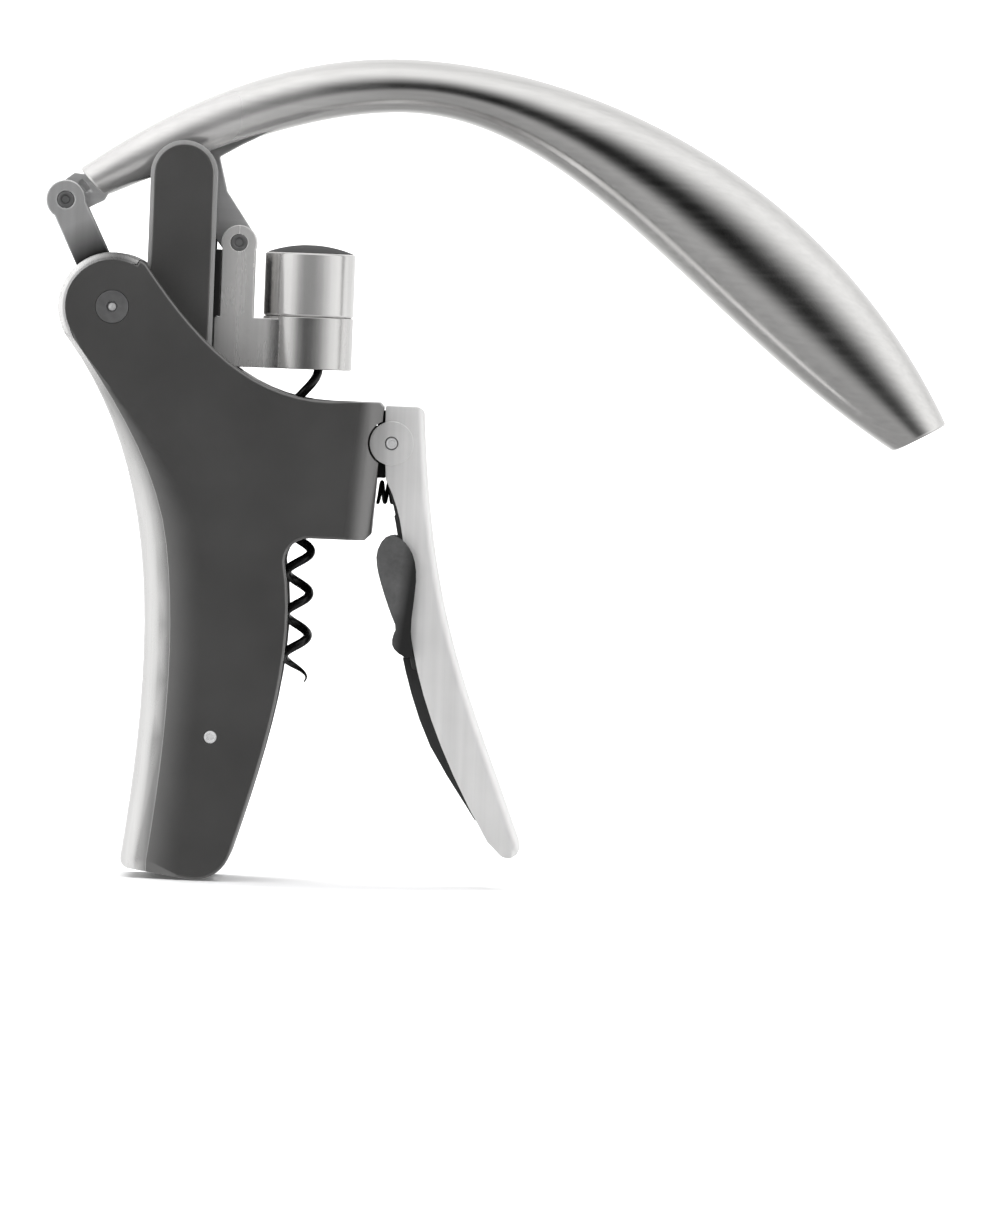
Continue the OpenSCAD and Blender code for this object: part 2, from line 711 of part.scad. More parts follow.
// Least gap between one turn of a wire and the next, from its own points
function least_gap(points, turn, wire) =
    min([
        for (i = [0:len(points) - turn - 3])
        for (k = [-2:2])
        norm(points[i + turn + k] - points[i])
    ]) - 2 * wire;
echo(worm_gap = least_gap([for (i = [0:worm_steps]) worm_at(i)], 14, wire_r));
module worm() {
    color("#161618") {
        loft([for (i = [0:worm_steps]) worm_ring(i)]);
        translate([0, 0, ring_z + 0.8]) cylinder(r = shank_r, h = ring_h + washer_t + 0.2);
        translate([0, 0, ring_top + washer_t + pin_clear]) cylinder(r = flange_r, h = flange_h);
    }
}

// Handle edges in the side view: the rear face stands off the link pin, and the tip is cut straight
rear_angle = 133;
tip_angle = 209;
rear_mid = link_p + handle_clear * [cos(rear_angle - 90), sin(rear_angle - 90)];
rear_dir = handle_rear_t * [cos(rear_angle), sin(rear_angle)];
crown_p = [crown_x, lever_crown];
crown_low = crown_p - [0.16, 1] * crown_t;
tip_top = [lever_reach, tip_z];
tip_low = tip_top + tip_cut * [cos(tip_angle), sin(tip_angle)];
handle_top = [
    edge(rear_mid + 0.4 * rear_dir, crown_p, [0.29, 0.56], [0.375, 0]),
    edge(crown_p, tip_top, [0.332, 0], [0.226, 0.708])
];
handle_low = [
    edge(rear_mid - 0.6 * rear_dir, crown_low, [0.267, 0.35], [0.366, 0.053]),
    edge(crown_low, tip_low, [0.351, -0.031], [0.392, 0.381])
];
handle_half = [
    [handle_rear_w, handle_rear_w + 1, handle_mid_w - 0.6, handle_mid_w],
    [handle_mid_w, handle_mid_w + 1.4, handle_swell_w, handle_tip_w]
];
handle_sides = 24;
function handle_ring(k, t) =
    let (
        top = cubic(handle_top[k], t),
        low = cubic(handle_low[k], t),
        w = cubic(handle_half[k], t),
        mid = (top + low) / 2,
        up = (top - low) / 2
    )
    [
        for (j = [0:handle_sides - 1])
        let (
            a = 360 * j / handle_sides,
            c = cos(a),
            s = sin(a),
            f = pow(pow(abs(c), 2.4) + pow(abs(s), 2.4), -1 / 2.4)
        )
        [mid.x + up.x * s * f, w * c * f, mid.y + up.y * s * f]
    ];
// Core plate in the side view: round ends at both pins, an arm into the handle and a leg to the carriage
core_front = 0.85;
core_points = 10;
module core_shape(grow) {
    hidden = [for (t = [0.06, 0.14, 0.2]) mix(cubic(handle_low[0], t), cubic(handle_top[0], t), 0.2)];
    under = [for (i = [3:core_points]) cubic(handle_low[0], core_front * i / core_points) - [0, core_show]];
    within = [
        for (i = [1:core_points])
        let (t = core_front * i / core_points)
        mix(cubic(handle_low[0], t), cubic(handle_top[0], t), 0.5) + [0, grow]
    ];
    translate(link_p) circle(r = core_end_r + grow);
    translate(carriage_p) circle(r = core_end_r + grow);
    polygon(concat(
        [for (k = [[0.5, -0.8], [1.36, -0.36], [2.16, 0.06]]) link_p + core_end_r * k],
        hidden,
        under,
        turned(within),
        [for (k = [[0.95, 1.5], [0.42, 1.56], [-0.6, 0.76]]) link_p + core_end_r * k]
    ));
    polygon([
        carriage_p + core_end_r * [cos(25), sin(25)],
        carriage_p + core_end_r * [-0.8, 2.9],
        under[2] + core_end_r * [0.15, 0.2],
        under[0] + core_end_r * [0, 0.2],
        carriage_p + core_end_r * [cos(205), sin(205)]
    ]);
}
module lever_core() {
    color("#b4b4b6") difference() {
        slab(-core_y, core_y) core_shape(0);
        bar_y(link_p, pin_r + pin_clear, -far, far);
        bar_y(carriage_p, pin_r + pin_clear, -far, far);
        // Pocket in each side of the tongue's block
        both_sides() slab(core_y - core_pocket, far)
            translate(link_p + core_end_r * [1.0, 0.82])
            rotate(rear_angle - 90)
            square([0.34, 0.76] * core_end_r, center = true);
    }
}
module lever_handle() {
    rings = concat(
        [for (i = [0:14]) handle_ring(0, i / 14)],
        [for (i = [1:22]) handle_ring(1, i / 22)]
    );
    color("#d4d4d6") difference() {
        loft(rings);
        slab(-core_y - seat_gap, core_y + seat_gap) core_shape(seat_gap);
    }
}
module link_pin() { color("#8a8a8c") bar_y(link_p, pin_r, -link_y - link_t, link_y + link_t); }

// Link plate with an eye at each pivot
module link() {
    d = hump_p - link_p;
    slab(link_y, link_y + link_t) difference() {
        union() {
            translate(link_p) circle(r = link_eye_r);
            translate(hump_p) circle(r = link_eye_r);
            translate(link_p) rotate(atan2(d.y, d.x)) translate([0, -link_w / 2]) square([link_len, link_w]);
        }
        translate(link_p) circle(r = pin_r + pin_clear);
        translate(hump_p) circle(r = pin_r + pin_clear);
    }
}
module front_link() { color("#c4c4c6") mirror([0, 1, 0]) link(); }
module rear_link() { color("#c4c4c6") link(); }
module link_foot_pin() {
    color("#8a8a8c") bar_y(hump_p, pin_r, -link_y - link_t - 1.2, link_y + link_t + 1.2);
}

module trigger_outline() {
    polygon(concat(
        [[trigger_back, trigger_top], [trigger_back, trigger_z]],
        curve(trigger_in, 18),
        arc(tip_p, tip_r, 226, 348, 8),
        turned(curve(trigger_out, 20))
    ));
    translate(trigger_p) circle(r = trigger_lug_r);
}
// Channel inside the trigger: all that lies behind its web, to a line that stands out by show and may fade
module trigger_channel(web, show, fade = 0) {
    polygon(concat(
        [[trigger_out[0].x - web, trigger_top - web]],
        [for (i = [2:19]) cubic(trigger_out, i / 20) - [web, 0.3 * web]],
        [
            for (i = [17.6, each [17:-1:0]])
            cubic(trigger_in, i / 18) - [show * (1 - fade * ease(0.8, 1, i / 18)), 0]
        ],
        [[trigger_x - trigger_lug_r - 3, trigger_z], [trigger_x - trigger_lug_r - 3, trigger_top - web]]
    ));
}
module trigger_shell() {
    color("#cfcfd1") difference() {
        union() {
            slab(-trigger_y, trigger_y) trigger_outline();
            bar_y(trigger_p, trigger_lug_r, -trigger_y - lug_step, trigger_y + lug_step);
        }
        slab(-trigger_in_y, trigger_in_y) trigger_channel(trigger_web_t, 20);
        bar_y(trigger_p, trigger_pin_r + pin_clear, -far, far);
    }
}
// Height of the jaw pad's top and bottom
jaw_high = -skirt + 0.041 * jaw_len;
jaw_low = jaw_high - jaw_len;
// Liner in the side view: it lies inside the channel behind the jaw pad, and stands out above and below it
module liner_part(low, high, show, fade) {
    intersection() {
        trigger_channel(trigger_web_t + seat_gap, show, fade);
        translate([0, low]) square([far, high - low]);
    }
}
module trigger_liner() {
    liner_top = 0.15 * trigger_z;
    liner_low = cubic(trigger_out, 0.95).y + seat_gap;
    color("#2a2a2c") slab(-trigger_in_y + seat_gap, trigger_in_y - seat_gap) {
        liner_part(liner_low, liner_top, -seat_gap, 0);
        liner_part(liner_low, jaw_low - seat_gap, liner_show, 1);
        liner_part(jaw_high + seat_gap, liner_top, 0.4 * liner_show, 0);
    }
}
// Jaw pad in the side view, in shares of its length from its nose: a shoe with a hooked toe
jaw_shape = [
    [0.125, 0.151], [0.04, 0.11], [-0.006, 0], [0.006, -0.127], [0.059, -0.3], [0.13, -0.489],
    [0.187, -0.614], [0.152, -0.689], [0.155, -0.77], [0.226, -0.836], [0.318, -0.862], [0.319, -0.753],
    [0.302, -0.594], [0.324, -0.354], [0.336, -0.178], [0.31, -0.02], [0.25, 0.08], [0.183, 0.134]
];
// A closed line with its corners cut back once
function softened(l) = [
    for (i = [0:len(l) - 1])
    let (q = l[(i + 1) % len(l)])
    each [mix(l[i], q, 0.25), mix(l[i], q, 0.75)]
];
module jaw_solid() {
    nose = [jaw_x, jaw_high - 0.145 * jaw_len];
    slab(-jaw_w / 2, jaw_w / 2) polygon([for (p = softened(turned(jaw_shape))) nose + jaw_len * p]);
}
module jaw_pad() {
    color("#3c3c3e") difference() {
        jaw_solid();
        slab(-trigger_y - seat_gap, trigger_y + seat_gap) translate([-seat_gap, 0]) trigger_outline();
        translate([jaw_x + jaw_depth - jaw_hollow_r, 0, -far]) cylinder(r = jaw_hollow_r, h = far);
    }
}

front_cover();
rear_cover();
back_spine();
front_rail();
rear_rail();
front_fin_cover();
rear_fin_cover();
lip_seat();
worm_nut();
nut_followers();
neck_liner();
pivot_screws();
grip_rivet();
trigger_pin();
trigger_spring();
carriage();
carriage_cap();
thrust_washer();
guide_slider();
carriage_pin();
worm();
lever_core();
lever_handle();
link_pin();
front_link();
rear_link();
link_foot_pin();
trigger_shell();
trigger_liner();
jaw_pad();
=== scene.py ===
"""Vertical lever corkscrew: modelled pieces, finishes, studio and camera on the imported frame."""

import logging
import math
from contextlib import contextmanager
from dataclasses import dataclass
from enum import Enum
from typing import Callable, ClassVar, Iterator, Sequence

import bmesh
import bpy
from mathutils import Matrix, Vector


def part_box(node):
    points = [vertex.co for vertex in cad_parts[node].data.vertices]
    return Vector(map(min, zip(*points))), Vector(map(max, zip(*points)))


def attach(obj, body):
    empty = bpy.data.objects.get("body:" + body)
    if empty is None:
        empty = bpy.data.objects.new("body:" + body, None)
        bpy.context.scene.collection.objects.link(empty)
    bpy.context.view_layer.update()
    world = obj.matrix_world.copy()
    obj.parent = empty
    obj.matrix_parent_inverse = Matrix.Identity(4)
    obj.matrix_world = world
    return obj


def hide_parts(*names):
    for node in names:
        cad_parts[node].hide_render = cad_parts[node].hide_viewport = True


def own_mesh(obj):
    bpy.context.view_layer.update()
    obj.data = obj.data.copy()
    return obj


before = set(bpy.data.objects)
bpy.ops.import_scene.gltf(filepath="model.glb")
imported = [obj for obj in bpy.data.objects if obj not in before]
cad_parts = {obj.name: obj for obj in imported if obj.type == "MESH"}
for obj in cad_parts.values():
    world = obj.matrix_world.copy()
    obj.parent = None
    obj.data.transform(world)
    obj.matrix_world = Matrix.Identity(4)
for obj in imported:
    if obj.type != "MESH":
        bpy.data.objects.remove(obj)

LOG = logging.getLogger("corkscrew")

MM = 0.001
SKIN = 2e-5  # metres inside the outer side where a point still counts as on it
WELD = 2e-6  # metres within which loose points are one point
FACING = 0.9  # least part of a normal along a direction for a face that looks that way
SOFT_FOLD = 35.0  # degrees of fold up to which most pieces are shaded smooth
ROUND_FOLD = 40.0  # the same for turned and domed pieces
QUARTER = math.pi / 2
MIX_FIRST, MIX_SECOND, MIX_COLOUR = 6, 7, 2  # places of a Mix node's colour sockets

Piece = bpy.types.Object
Finish = bpy.types.Material
Socket = bpy.types.NodeSocket
Point2 = tuple[float, float]
Triple = tuple[float, float, float]


# ---- bench tools


class Body(Enum):
    """The moving bodies that pieces ride on."""

    HOUSING = "housing"
    CARRIAGE = "carriage"
    WORM = "worm"
    LEVER = "lever"
    LINKS = "links"
    TRIGGER = "trigger"


class Grain(Enum):
    """Direction of the fine brushing on a metal, as a stretch of its noise."""

    ALONG_X = (14.0, 900.0, 900.0)
    ALONG_Z = (900.0, 900.0, 14.0)
    EVEN = (700.0, 700.0, 700.0)


@dataclass(frozen=True)
class EdgeView:
    """What an edge test may look at: its ends, its fold in radians and the normals beside it."""

    a: Vector
    b: Vector
    fold: float
    normals: Sequence[Vector]

    @property
    def mid(self) -> Vector:
        """Middle of the edge."""
        return (self.a + self.b) / 2

    def from_axle(self, axle: Vector) -> Vector:
        """Way from a cross axle to the middle of the edge, in the side view."""
        return (self.mid - axle) * Vector((1, 0, 1))

    def folded(self, degrees: float) -> bool:
        """True if the edge is folded by this angle or more."""
        return self.fold >= math.radians(degrees)

    def outside(self, half_width: float) -> bool:
        """True if both ends lie on the sides, which are half_width millimetres out."""
        return min(abs(self.a.y), abs(self.b.y)) >= half_width * MM - SKIN


EdgeTest = Callable[[EdgeView], bool]


@dataclass(frozen=True)
class Rounding:
    """Rounding of sharp edges: width in millimetres, strips across it, and least fold."""

    width: float
    strips: int = 2
    fold: float = 50.0


def focus(obj: Piece) -> None:
    """Make one object the only selected and active one.

    Args:
        obj: the object.
    """
    active = bpy.context.view_layer.objects.active
    if active is not None and active.mode != "OBJECT":
        bpy.ops.object.mode_set(mode="OBJECT")
    bpy.ops.object.select_all(action="DESELECT")
    obj.select_set(True)
    bpy.context.view_layer.objects.active = obj


@contextmanager
def editing(obj: Piece, mode: str = "VERT") -> Iterator[None]:
    """Work on one object in edit mode with everything selected.

    Args:
        obj: the mesh object.
        mode: VERT, EDGE or FACE select mode.
    """
    focus(obj)
    bpy.ops.object.mode_set(mode="EDIT")
    bpy.ops.mesh.select_mode(type=mode)
    bpy.ops.mesh.select_all(action="SELECT")
    yield
    bpy.ops.object.mode_set(mode="OBJECT")


@contextmanager
def choosing(obj: Piece) -> Iterator[bmesh.types.BMesh]:
    """Deselect everything and hand out the mesh to select in, in edit mode.

    Args:
        obj: the mesh object, in edit mode.

    Yields:
        The mesh.
    """
    bpy.ops.mesh.select_all(action="DESELECT")
    mesh = bmesh.from_edit_mesh(obj.data)
    yield mesh
    bmesh.update_edit_mesh(obj.data)


def pick_edges(obj: Piece, test: EdgeTest) -> int:
    """Select the edges that pass a test, in edit mode.

    Args:
        obj: the mesh object, in edit mode.
        test: true for each edge to select.

    Returns:
        How many edges are selected.
    """
    count = 0
    with choosing(obj) as mesh:
        for edge in mesh.edges:
            if len(edge.link_faces) != 2:
                continue
            first, second = (face.normal for face in edge.link_faces)
            ends = (vertex.co for vertex in edge.verts)
            if test(EdgeView(*ends, first.angle(second, 0.0), (first, second))):
                edge.select_set(True)
                count += 1
    return count


def pick_sides(obj: Piece, *ways: Sequence[float]) -> None:
    """Select the faces that look along one of some directions, in edit mode.

    Args:
        obj: the mesh object, in edit mode.
        ways: the directions, each of length one.
    """
    with choosing(obj) as mesh:
        for face in mesh.faces:
            if any(face.normal.dot(Vector(way)) > FACING for way in ways):
                face.select_set(True)


def pick_points(obj: Piece, test: Callable[[bmesh.types.BMVert], bool]) -> None:
    """Select the points that pass a test, in edit mode.

    Args:
        obj: the mesh object, in edit mode.
        test: true for each point to select.
    """
    with choosing(obj) as mesh:
        for vertex in mesh.verts:
            if test(vertex):
                vertex.select_set(True)
        mesh.select_flush_mode()


def push(way: Sequence[float]) -> None:
    """Extrude what is selected along a way in metres, in edit mode."""
    bpy.ops.mesh.extrude_region_move(TRANSFORM_OT_translate={"value": way})


def sharp(degrees: float) -> EdgeTest:
    """Edge test for folds sharper than an angle."""
    limit = math.radians(degrees)
    return lambda edge: edge.fold > limit


def round_edges(obj: Piece, width: float, strips: int, test: EdgeTest, clamp: bool = True) -> None:
    """Round off chosen edges.

    Args:
        obj: the mesh object.
        width: how far the rounding reaches from the edge, in millimetres.
        strips: number of strips across the rounding.
        test: true for each edge to round.
        clamp: narrow the whole rounding where it would meet another.
    """
    with editing(obj, "EDGE"):
        if pick_edges(obj, test):
            bpy.ops.mesh.bevel(
                offset=width * MM, offset_type="OFFSET", segments=strips, profile=0.5,
                affect="EDGES", clamp_overlap=clamp, miter_outer="ARC")


def drop_short_edges(obj: Piece, length: float, test: EdgeTest) -> None:
    """Collapse short edges, so that a rounding can run past them.

    Args:
        obj: the mesh object.
        length: edges shorter than this go, in millimetres.
        test: true for each edge that may go.
    """
    with editing(obj, "EDGE"):
        if pick_edges(obj, lambda edge: (edge.b - edge.a).length < length * MM and test(edge)):
            bpy.ops.mesh.edge_collapse()


def apply_modifier(obj: Piece, kind: str, **settings: object) -> None:
    """Add one modifier with its settings and apply it.

    Args:
        obj: the mesh object.
        kind: modifier type.
        settings: values for its properties.
    """
    focus(obj)
    modifier = obj.modifiers.new(kind.lower(), kind)
    for name, value in settings.items():
        setattr(modifier, name, value)
    bpy.ops.object.modifier_apply(modifier=modifier.name)


def shade(obj: Piece, degrees: float, weighted: bool = True) -> None:
    """Smooth shading with sharp folds kept, and flat faces kept flat.

    Args:
        obj: the mesh object.
        degrees: folds above this stay sharp.
        weighted: weigh the normals by face size.
    """
    focus(obj)
    bpy.ops.object.shade_smooth_by_angle(angle=math.radians(degrees))
    if weighted:
        apply_modifier(obj, "WEIGHTED_NORMAL", keep_sharp=True, weight=80)


def soften(obj: Piece, rounding: Rounding, degrees: float = SOFT_FOLD) -> Piece:
    """Round a piece's sharp edges and shade it.

    Args:
        obj: the mesh object.
        rounding: its rounding.
        degrees: folds above this stay sharp in the shading.

    Returns:
        The same object.
    """
    round_edges(obj, rounding.width, rounding.strips, sharp(rounding.fold))
    shade(obj, degrees)
    return obj


def copy_node(node: str, name: str, flat: float = 0.4) -> Piece:
    """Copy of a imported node's mesh, sewn together with its flat faces joined up.

    Args:
        node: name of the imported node.
        name: name of the new piece.
        flat: faces folded less than this many degrees are joined.

    Returns:
        The new mesh object.
    """
    obj = bpy.data.objects.new(name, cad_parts[node].data.copy())
    bpy.context.scene.collection.objects.link(obj)
    obj.data.materials.clear()
    with editing(obj):
        bpy.ops.mesh.customdata_custom_splitnormals_clear()
        bpy.ops.mesh.remove_doubles(threshold=WELD)
        bpy.ops.mesh.dissolve_limited(angle_limit=math.radians(flat))
        bpy.ops.mesh.select_all(action="SELECT")
        bpy.ops.mesh.normals_make_consistent(inside=False)
    return obj


def named(name: str, scale: Sequence[float] = (1.0, 1.0, 1.0)) -> Piece:
    """Name the primitive just added, and put its place, turn and scale into its mesh.

    Args:
        name: name of the piece.
        scale: its scale along x, y and z.

    Returns:
        The new mesh object.
    """
    obj = bpy.context.object
    obj.name = name
    obj.scale = scale
    focus(obj)
    bpy.ops.object.transform_apply(location=True, rotation=True, scale=True)
    return obj


def new_bar(name: str, sides: int, radius: float, length: float, middle: Sequence[float],
            turn: float = 0.0) -> Piece:
    """Start a piece from a round bar.

    Args:
        name: name of the piece.
        sides: number of flats round it.
        radius: its radius, in metres.
        length: its length, in metres.
        middle: its middle, in metres.
        turn: how far it is turned about x from upright, in radians.

    Returns:
        The new mesh object.
    """
    bpy.ops.object.select_all(action="DESELECT")
    bpy.ops.mesh.primitive_cylinder_add(
        vertices=sides, radius=radius, depth=length, location=middle, rotation=(turn, 0, 0))
    return named(name)


def new_block(name: str, size: Vector, middle: Sequence[float]) -> Piece:
    """Start a piece from a block.

    Args:
        name: name of the piece.
        size: its size along x, y and z, in metres.
        middle: its middle, in metres.

    Returns:
        The new mesh object.
    """
    bpy.ops.object.select_all(action="DESELECT")
    bpy.ops.mesh.primitive_cube_add(size=1.0, location=middle)
    return named(name, size)


def dress_node(node: str, material: Finish) -> None:
    """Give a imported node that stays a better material.

    Args:
        node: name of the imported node.
        material: its material.
    """
    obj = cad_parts[node]
    if not obj.material_slots:
        obj.data.materials.append(material)
    for slot in obj.material_slots:
        slot.material = material
    LOG.info("%s: dressed", node)


def box_of(node: str) -> tuple[Vector, Vector, Vector]:
    """Low corner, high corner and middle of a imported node's box, in metres."""
    low, high = (Vector(corner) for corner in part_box(node))
    return low, high, (low + high) / 2


def cubic_value(values: Sequence[float], t: float) -> float:
    """Value on a cubic curve.

    Args:
        values: the four numbers.
        t: place along the curve, 0 to 1.

    Returns:
        The value.
    """
    s = 1 - t
    weights = (s ** 3, 3 * s * s * t, 3 * s * t * t, t ** 3)
    return sum(weight * value for weight, value in zip(weights, values))


def cubic(points: Sequence[Point2], t: float) -> Vector:
    """Point on a cubic curve in the side view.

    Args:
        points: four control points (x, z) in millimetres.
        t: place along the curve, 0 to 1.

    Returns:
        The point in metres, with y = 0.
    """
    x, z = (cubic_value(values, t) for values in zip(*points))
    return Vector((x * MM, 0.0, z * MM))


# ---- finishes


PLAIN: Triple = (1.0, 1.0, 1.0)
PAINT_TINT: Triple = (1.0, 0.99, 0.98)
SILVER_TINT: Triple = (1.0, 0.995, 0.985)
CHROME_TINT: Triple = (1.0, 0.99, 0.975)
BRASS_TINT: Triple = (1.0, 0.86, 0.5)


def tone(level: float, tint: Triple = PLAIN) -> Triple:
    """Linear colour of a display grey level with a tint.

    Args:
        level: the display level, 0 to 255.
        tint: share of red, green and blue.

    Returns:
        The linear colour.
    """
    share = level / 255
    linear = share / 12.92 if share <= 0.04045 else ((share + 0.055) / 1.055) ** 2.4
    return tuple(min(1.0, linear * t) for t in tint)


class NodeSheet:
    """A node tree, with short calls for the nodes that the finishes and the studio share."""

    def __init__(self, tree: bpy.types.NodeTree, coords: str) -> None:
        """Take up a tree and the coordinates that its patterns lie on."""
        self.tree = tree
        self.coords = self.add("ShaderNodeTexCoord").outputs[coords]

    def add(self, kind: str) -> bpy.types.Node:
        """Add one node."""
        return self.tree.nodes.new(kind)

    def join(self, value: Socket | float | Sequence[float], target: Socket) -> None:
        """Link a value to a socket, or set it there.

        Args:
            value: a socket, or a plain value.
            target: the socket that takes it.
        """
        if isinstance(value, bpy.types.NodeSocket):
            self.tree.links.new(value, target)
        else:
            target.default_value = value

    def noise(self, scale: float | Triple, detail: float = 3.0, rough: float = 0.55) -> Socket:
        """Noise on the sheet's coordinates.

        Args:
            scale: features per metre, the same every way or along x, y and z.
            detail: octaves.
            rough: how strong the finer octaves are.

        Returns:
            The noise value socket.
        """
        mapping = self.add("ShaderNodeMapping")
        self.join(scale if isinstance(scale, tuple) else (scale,) * 3, mapping.inputs["Scale"])
        self.join(self.coords, mapping.inputs["Vector"])
        texture = self.add("ShaderNodeTexNoise")
        for socket, value in (("Scale", 1.0), ("Detail", detail), ("Roughness", rough),
                              ("Vector", mapping.outputs["Vector"])):
            self.join(value, texture.inputs[socket])
        return texture.outputs["Fac"]

    def remap(self, value: Socket, low: float, high: float, start: float = 0.3, end: float = 0.7,
              smooth: bool = False) -> Socket:
        """Carry a value from one range over to another.

        Args:
            value: the value's socket.
            low: result where the value is start.
            high: result where the value is end.
            start: first end of the value's range; a noise's middle range if left out.
            end: other end of the value's range.
            smooth: ease in and out.

        Returns:
            The result's socket.
        """
        node = self.add("ShaderNodeMapRange")
        if smooth:
            node.interpolation_type = "SMOOTHSTEP"
        for socket, number in (("Value", value), ("From Min", start), ("From Max", end),
                               ("To Min", low), ("To Max", high)):
            self.join(number, node.inputs[socket])
        return node.outputs["Result"]

    def math(self, kind: str, first: Socket, second: Socket | float = 0.0) -> Socket:
        """Join two values by a sum, product or other rule.

        Args:
            kind: name of the rule.
            first: the first value.
            second: the second value.

        Returns:
            The result's socket.
        """
        node = self.add("ShaderNodeMath")
        node.operation = kind
        self.join(first, node.inputs[0])
        self.join(second, node.inputs[1])
        return node.outputs["Value"]

    def weigh(self, first: Socket, share: float, second: Socket) -> Socket:
        """Sum of two values, a share of the first and the rest of the second."""
        return self.math("ADD", self.math("MULTIPLY", first, share),
                         self.math("MULTIPLY", second, 1 - share))

    def mix(self, value: Socket, low: Socket | Triple, high: Socket | Triple) -> Socket:
        """Colour between two, by a value from 0 to 1.

        Args:
            value: how far it is from the first colour to the second.
            low: the first colour, plain or a socket.
            high: the second colour, plain or a socket.

        Returns:
            The colour's socket.
        """
        node = self.add("ShaderNodeMix")
        node.data_type = "RGBA"
        for colour, socket in ((low, MIX_FIRST), (high, MIX_SECOND)):
            plain = isinstance(colour, tuple)
            self.join((*colour, 1.0) if plain else colour, node.inputs[socket])
        self.join(value, node.inputs["Factor"])
        return node.outputs[MIX_COLOUR]

    def ramp(self, value: Socket, stops: Sequence[Point2]) -> Socket:
        """Grey ramp of a value from 0 to 1.

        Args:
            value: the value's socket.
            stops: place from -1 to 1 and grey level of each stop.

        Returns:
            The colour's socket.
        """
        node = self.add("ShaderNodeValToRGB")
        elements = node.color_ramp.elements
        while len(elements) < len(stops):
            elements.new(0.5)
        for element, (spot, level) in zip(elements, stops):
            element.position = (spot + 1) / 2
            element.color = (level, level, level, 1.0)
        self.join(value, node.inputs["Fac"])
        return node.outputs["Color"]

    def axis(self, name: str) -> Socket:
        """One of the coordinates.

        Args:
            name: X, Y or Z.

        Returns:
            The coordinate's socket.
        """
        node = self.add("ShaderNodeSeparateXYZ")
        self.join(self.coords, node.inputs["Vector"])
        return node.outputs[name]

    def distance(self, x: float, z: float) -> Socket:
        """Distance from a point in the side view.

        Args:
            x: the point's x, in millimetres.
            z: the point's z, in millimetres.

        Returns:
            The distance's socket, in metres.
        """
        along = self.math("SUBTRACT", self.axis("X"), x * MM)
        up = self.math("SUBTRACT", self.axis("Z"), z * MM)
        squares = self.math("ADD", self.math("MULTIPLY", along, along),
                            self.math("MULTIPLY", up, up))
        return self.math("POWER", squares, 0.5)


class FinishSheet(NodeSheet):
    """A material's nodes round one surface shader."""

    def __init__(self, name: str) -> None:
        """Start an empty material on object coordinates."""
        self.material = bpy.data.materials.new(name)
        self.material.use_nodes = True
        self.material.node_tree.nodes.clear()
        super().__init__(self.material.node_tree, "Object")
        self.shader = self.add("ShaderNodeBsdfPrincipled")
        self.join(self.shader.outputs["BSDF"],
                  self.add("ShaderNodeOutputMaterial").inputs["Surface"])

    def feed(self, socket: str, value: Socket | float) -> None:
        """Link a value to the shader, or set it there."""
        self.join(value, self.shader.inputs[socket])

    def shades(self, level: float, spread: Point2, pattern: Socket, tint: Triple = PLAIN) -> Socket:
        """Colour round a grey level, spread to both sides of it by a pattern's middle range."""
        ends = (tone(level + step, tint) for step in spread)
        return self.mix(self.remap(pattern, 0.0, 1.0), *ends)

    def rough(self, fine: Socket, swing: float, broad: Socket, limits: Point2) -> None:
        """Roughness that a broad noise moves between limits and a fine one swings about."""
        self.feed("Roughness", self.math("ADD", self.remap(fine, -swing, swing),
                                         self.remap(broad, *limits)))

    def relief(self, height: Socket, strength: float, depth: float) -> None:
        """Use a height value as fine relief.

        Args:
            height: the height socket.
            strength: how much of it shows.
            depth: its depth in millimetres.
        """
        node = self.add("ShaderNodeBump")
        for socket, value in (("Strength", strength), ("Distance", depth * MM),
                              ("Height", height)):
            self.join(value, node.inputs[socket])
        self.feed("Normal", node.outputs["Normal"])

    def front_only(self) -> Socket:
        """One on the front of a sheet and zero on its back, to look through it from behind."""
        node = self.add("ShaderNodeNewGeometry")
        return self.remap(node.outputs["Backfacing"], 1.0, 0.0, 0.0, 1.0)


@dataclass(frozen=True)
class PaintedShell:
    """Satin metallic paint on a moulded or cast shell."""

    name: str
    level: float
    tint: Triple = PAINT_TINT
    spread: Point2 = (-5.0, 5.0)
    metallic: float = 0.9
    roughness: float = 0.38
    coat: float = 0.05
    coat_roughness: float = 0.3
    flake_scale: float = 5200.0
    cloud_scale: float = 38.0
    peel_scale: float = 900.0
    peel_depth: Point2 = (0.16, 0.06)

    def build(self) -> Finish:
        """Mix the paint: fine flake, soft cloudiness and faint orange peel.

        Returns:
            The material.
        """
        sheet = FinishSheet(self.name)
        flake = sheet.noise(self.flake_scale, detail=2.0, rough=0.7)
        cloud = sheet.noise(self.cloud_scale)
        peel = sheet.noise(self.peel_scale, detail=2.0)
        pattern = sheet.weigh(flake, 0.45, cloud)
        sheet.feed("Base Color", sheet.shades(self.level, self.spread, pattern, self.tint))
        sheet.feed("Metallic", self.metallic)
        sheet.rough(flake, 0.04, cloud, (self.roughness - 0.03, self.roughness + 0.03))
        sheet.feed("Coat Weight", self.coat)
        sheet.feed("Coat Roughness", self.coat_roughness)
        sheet.relief(sheet.weigh(peel, 0.7, flake), *self.peel_depth)
        return sheet.material


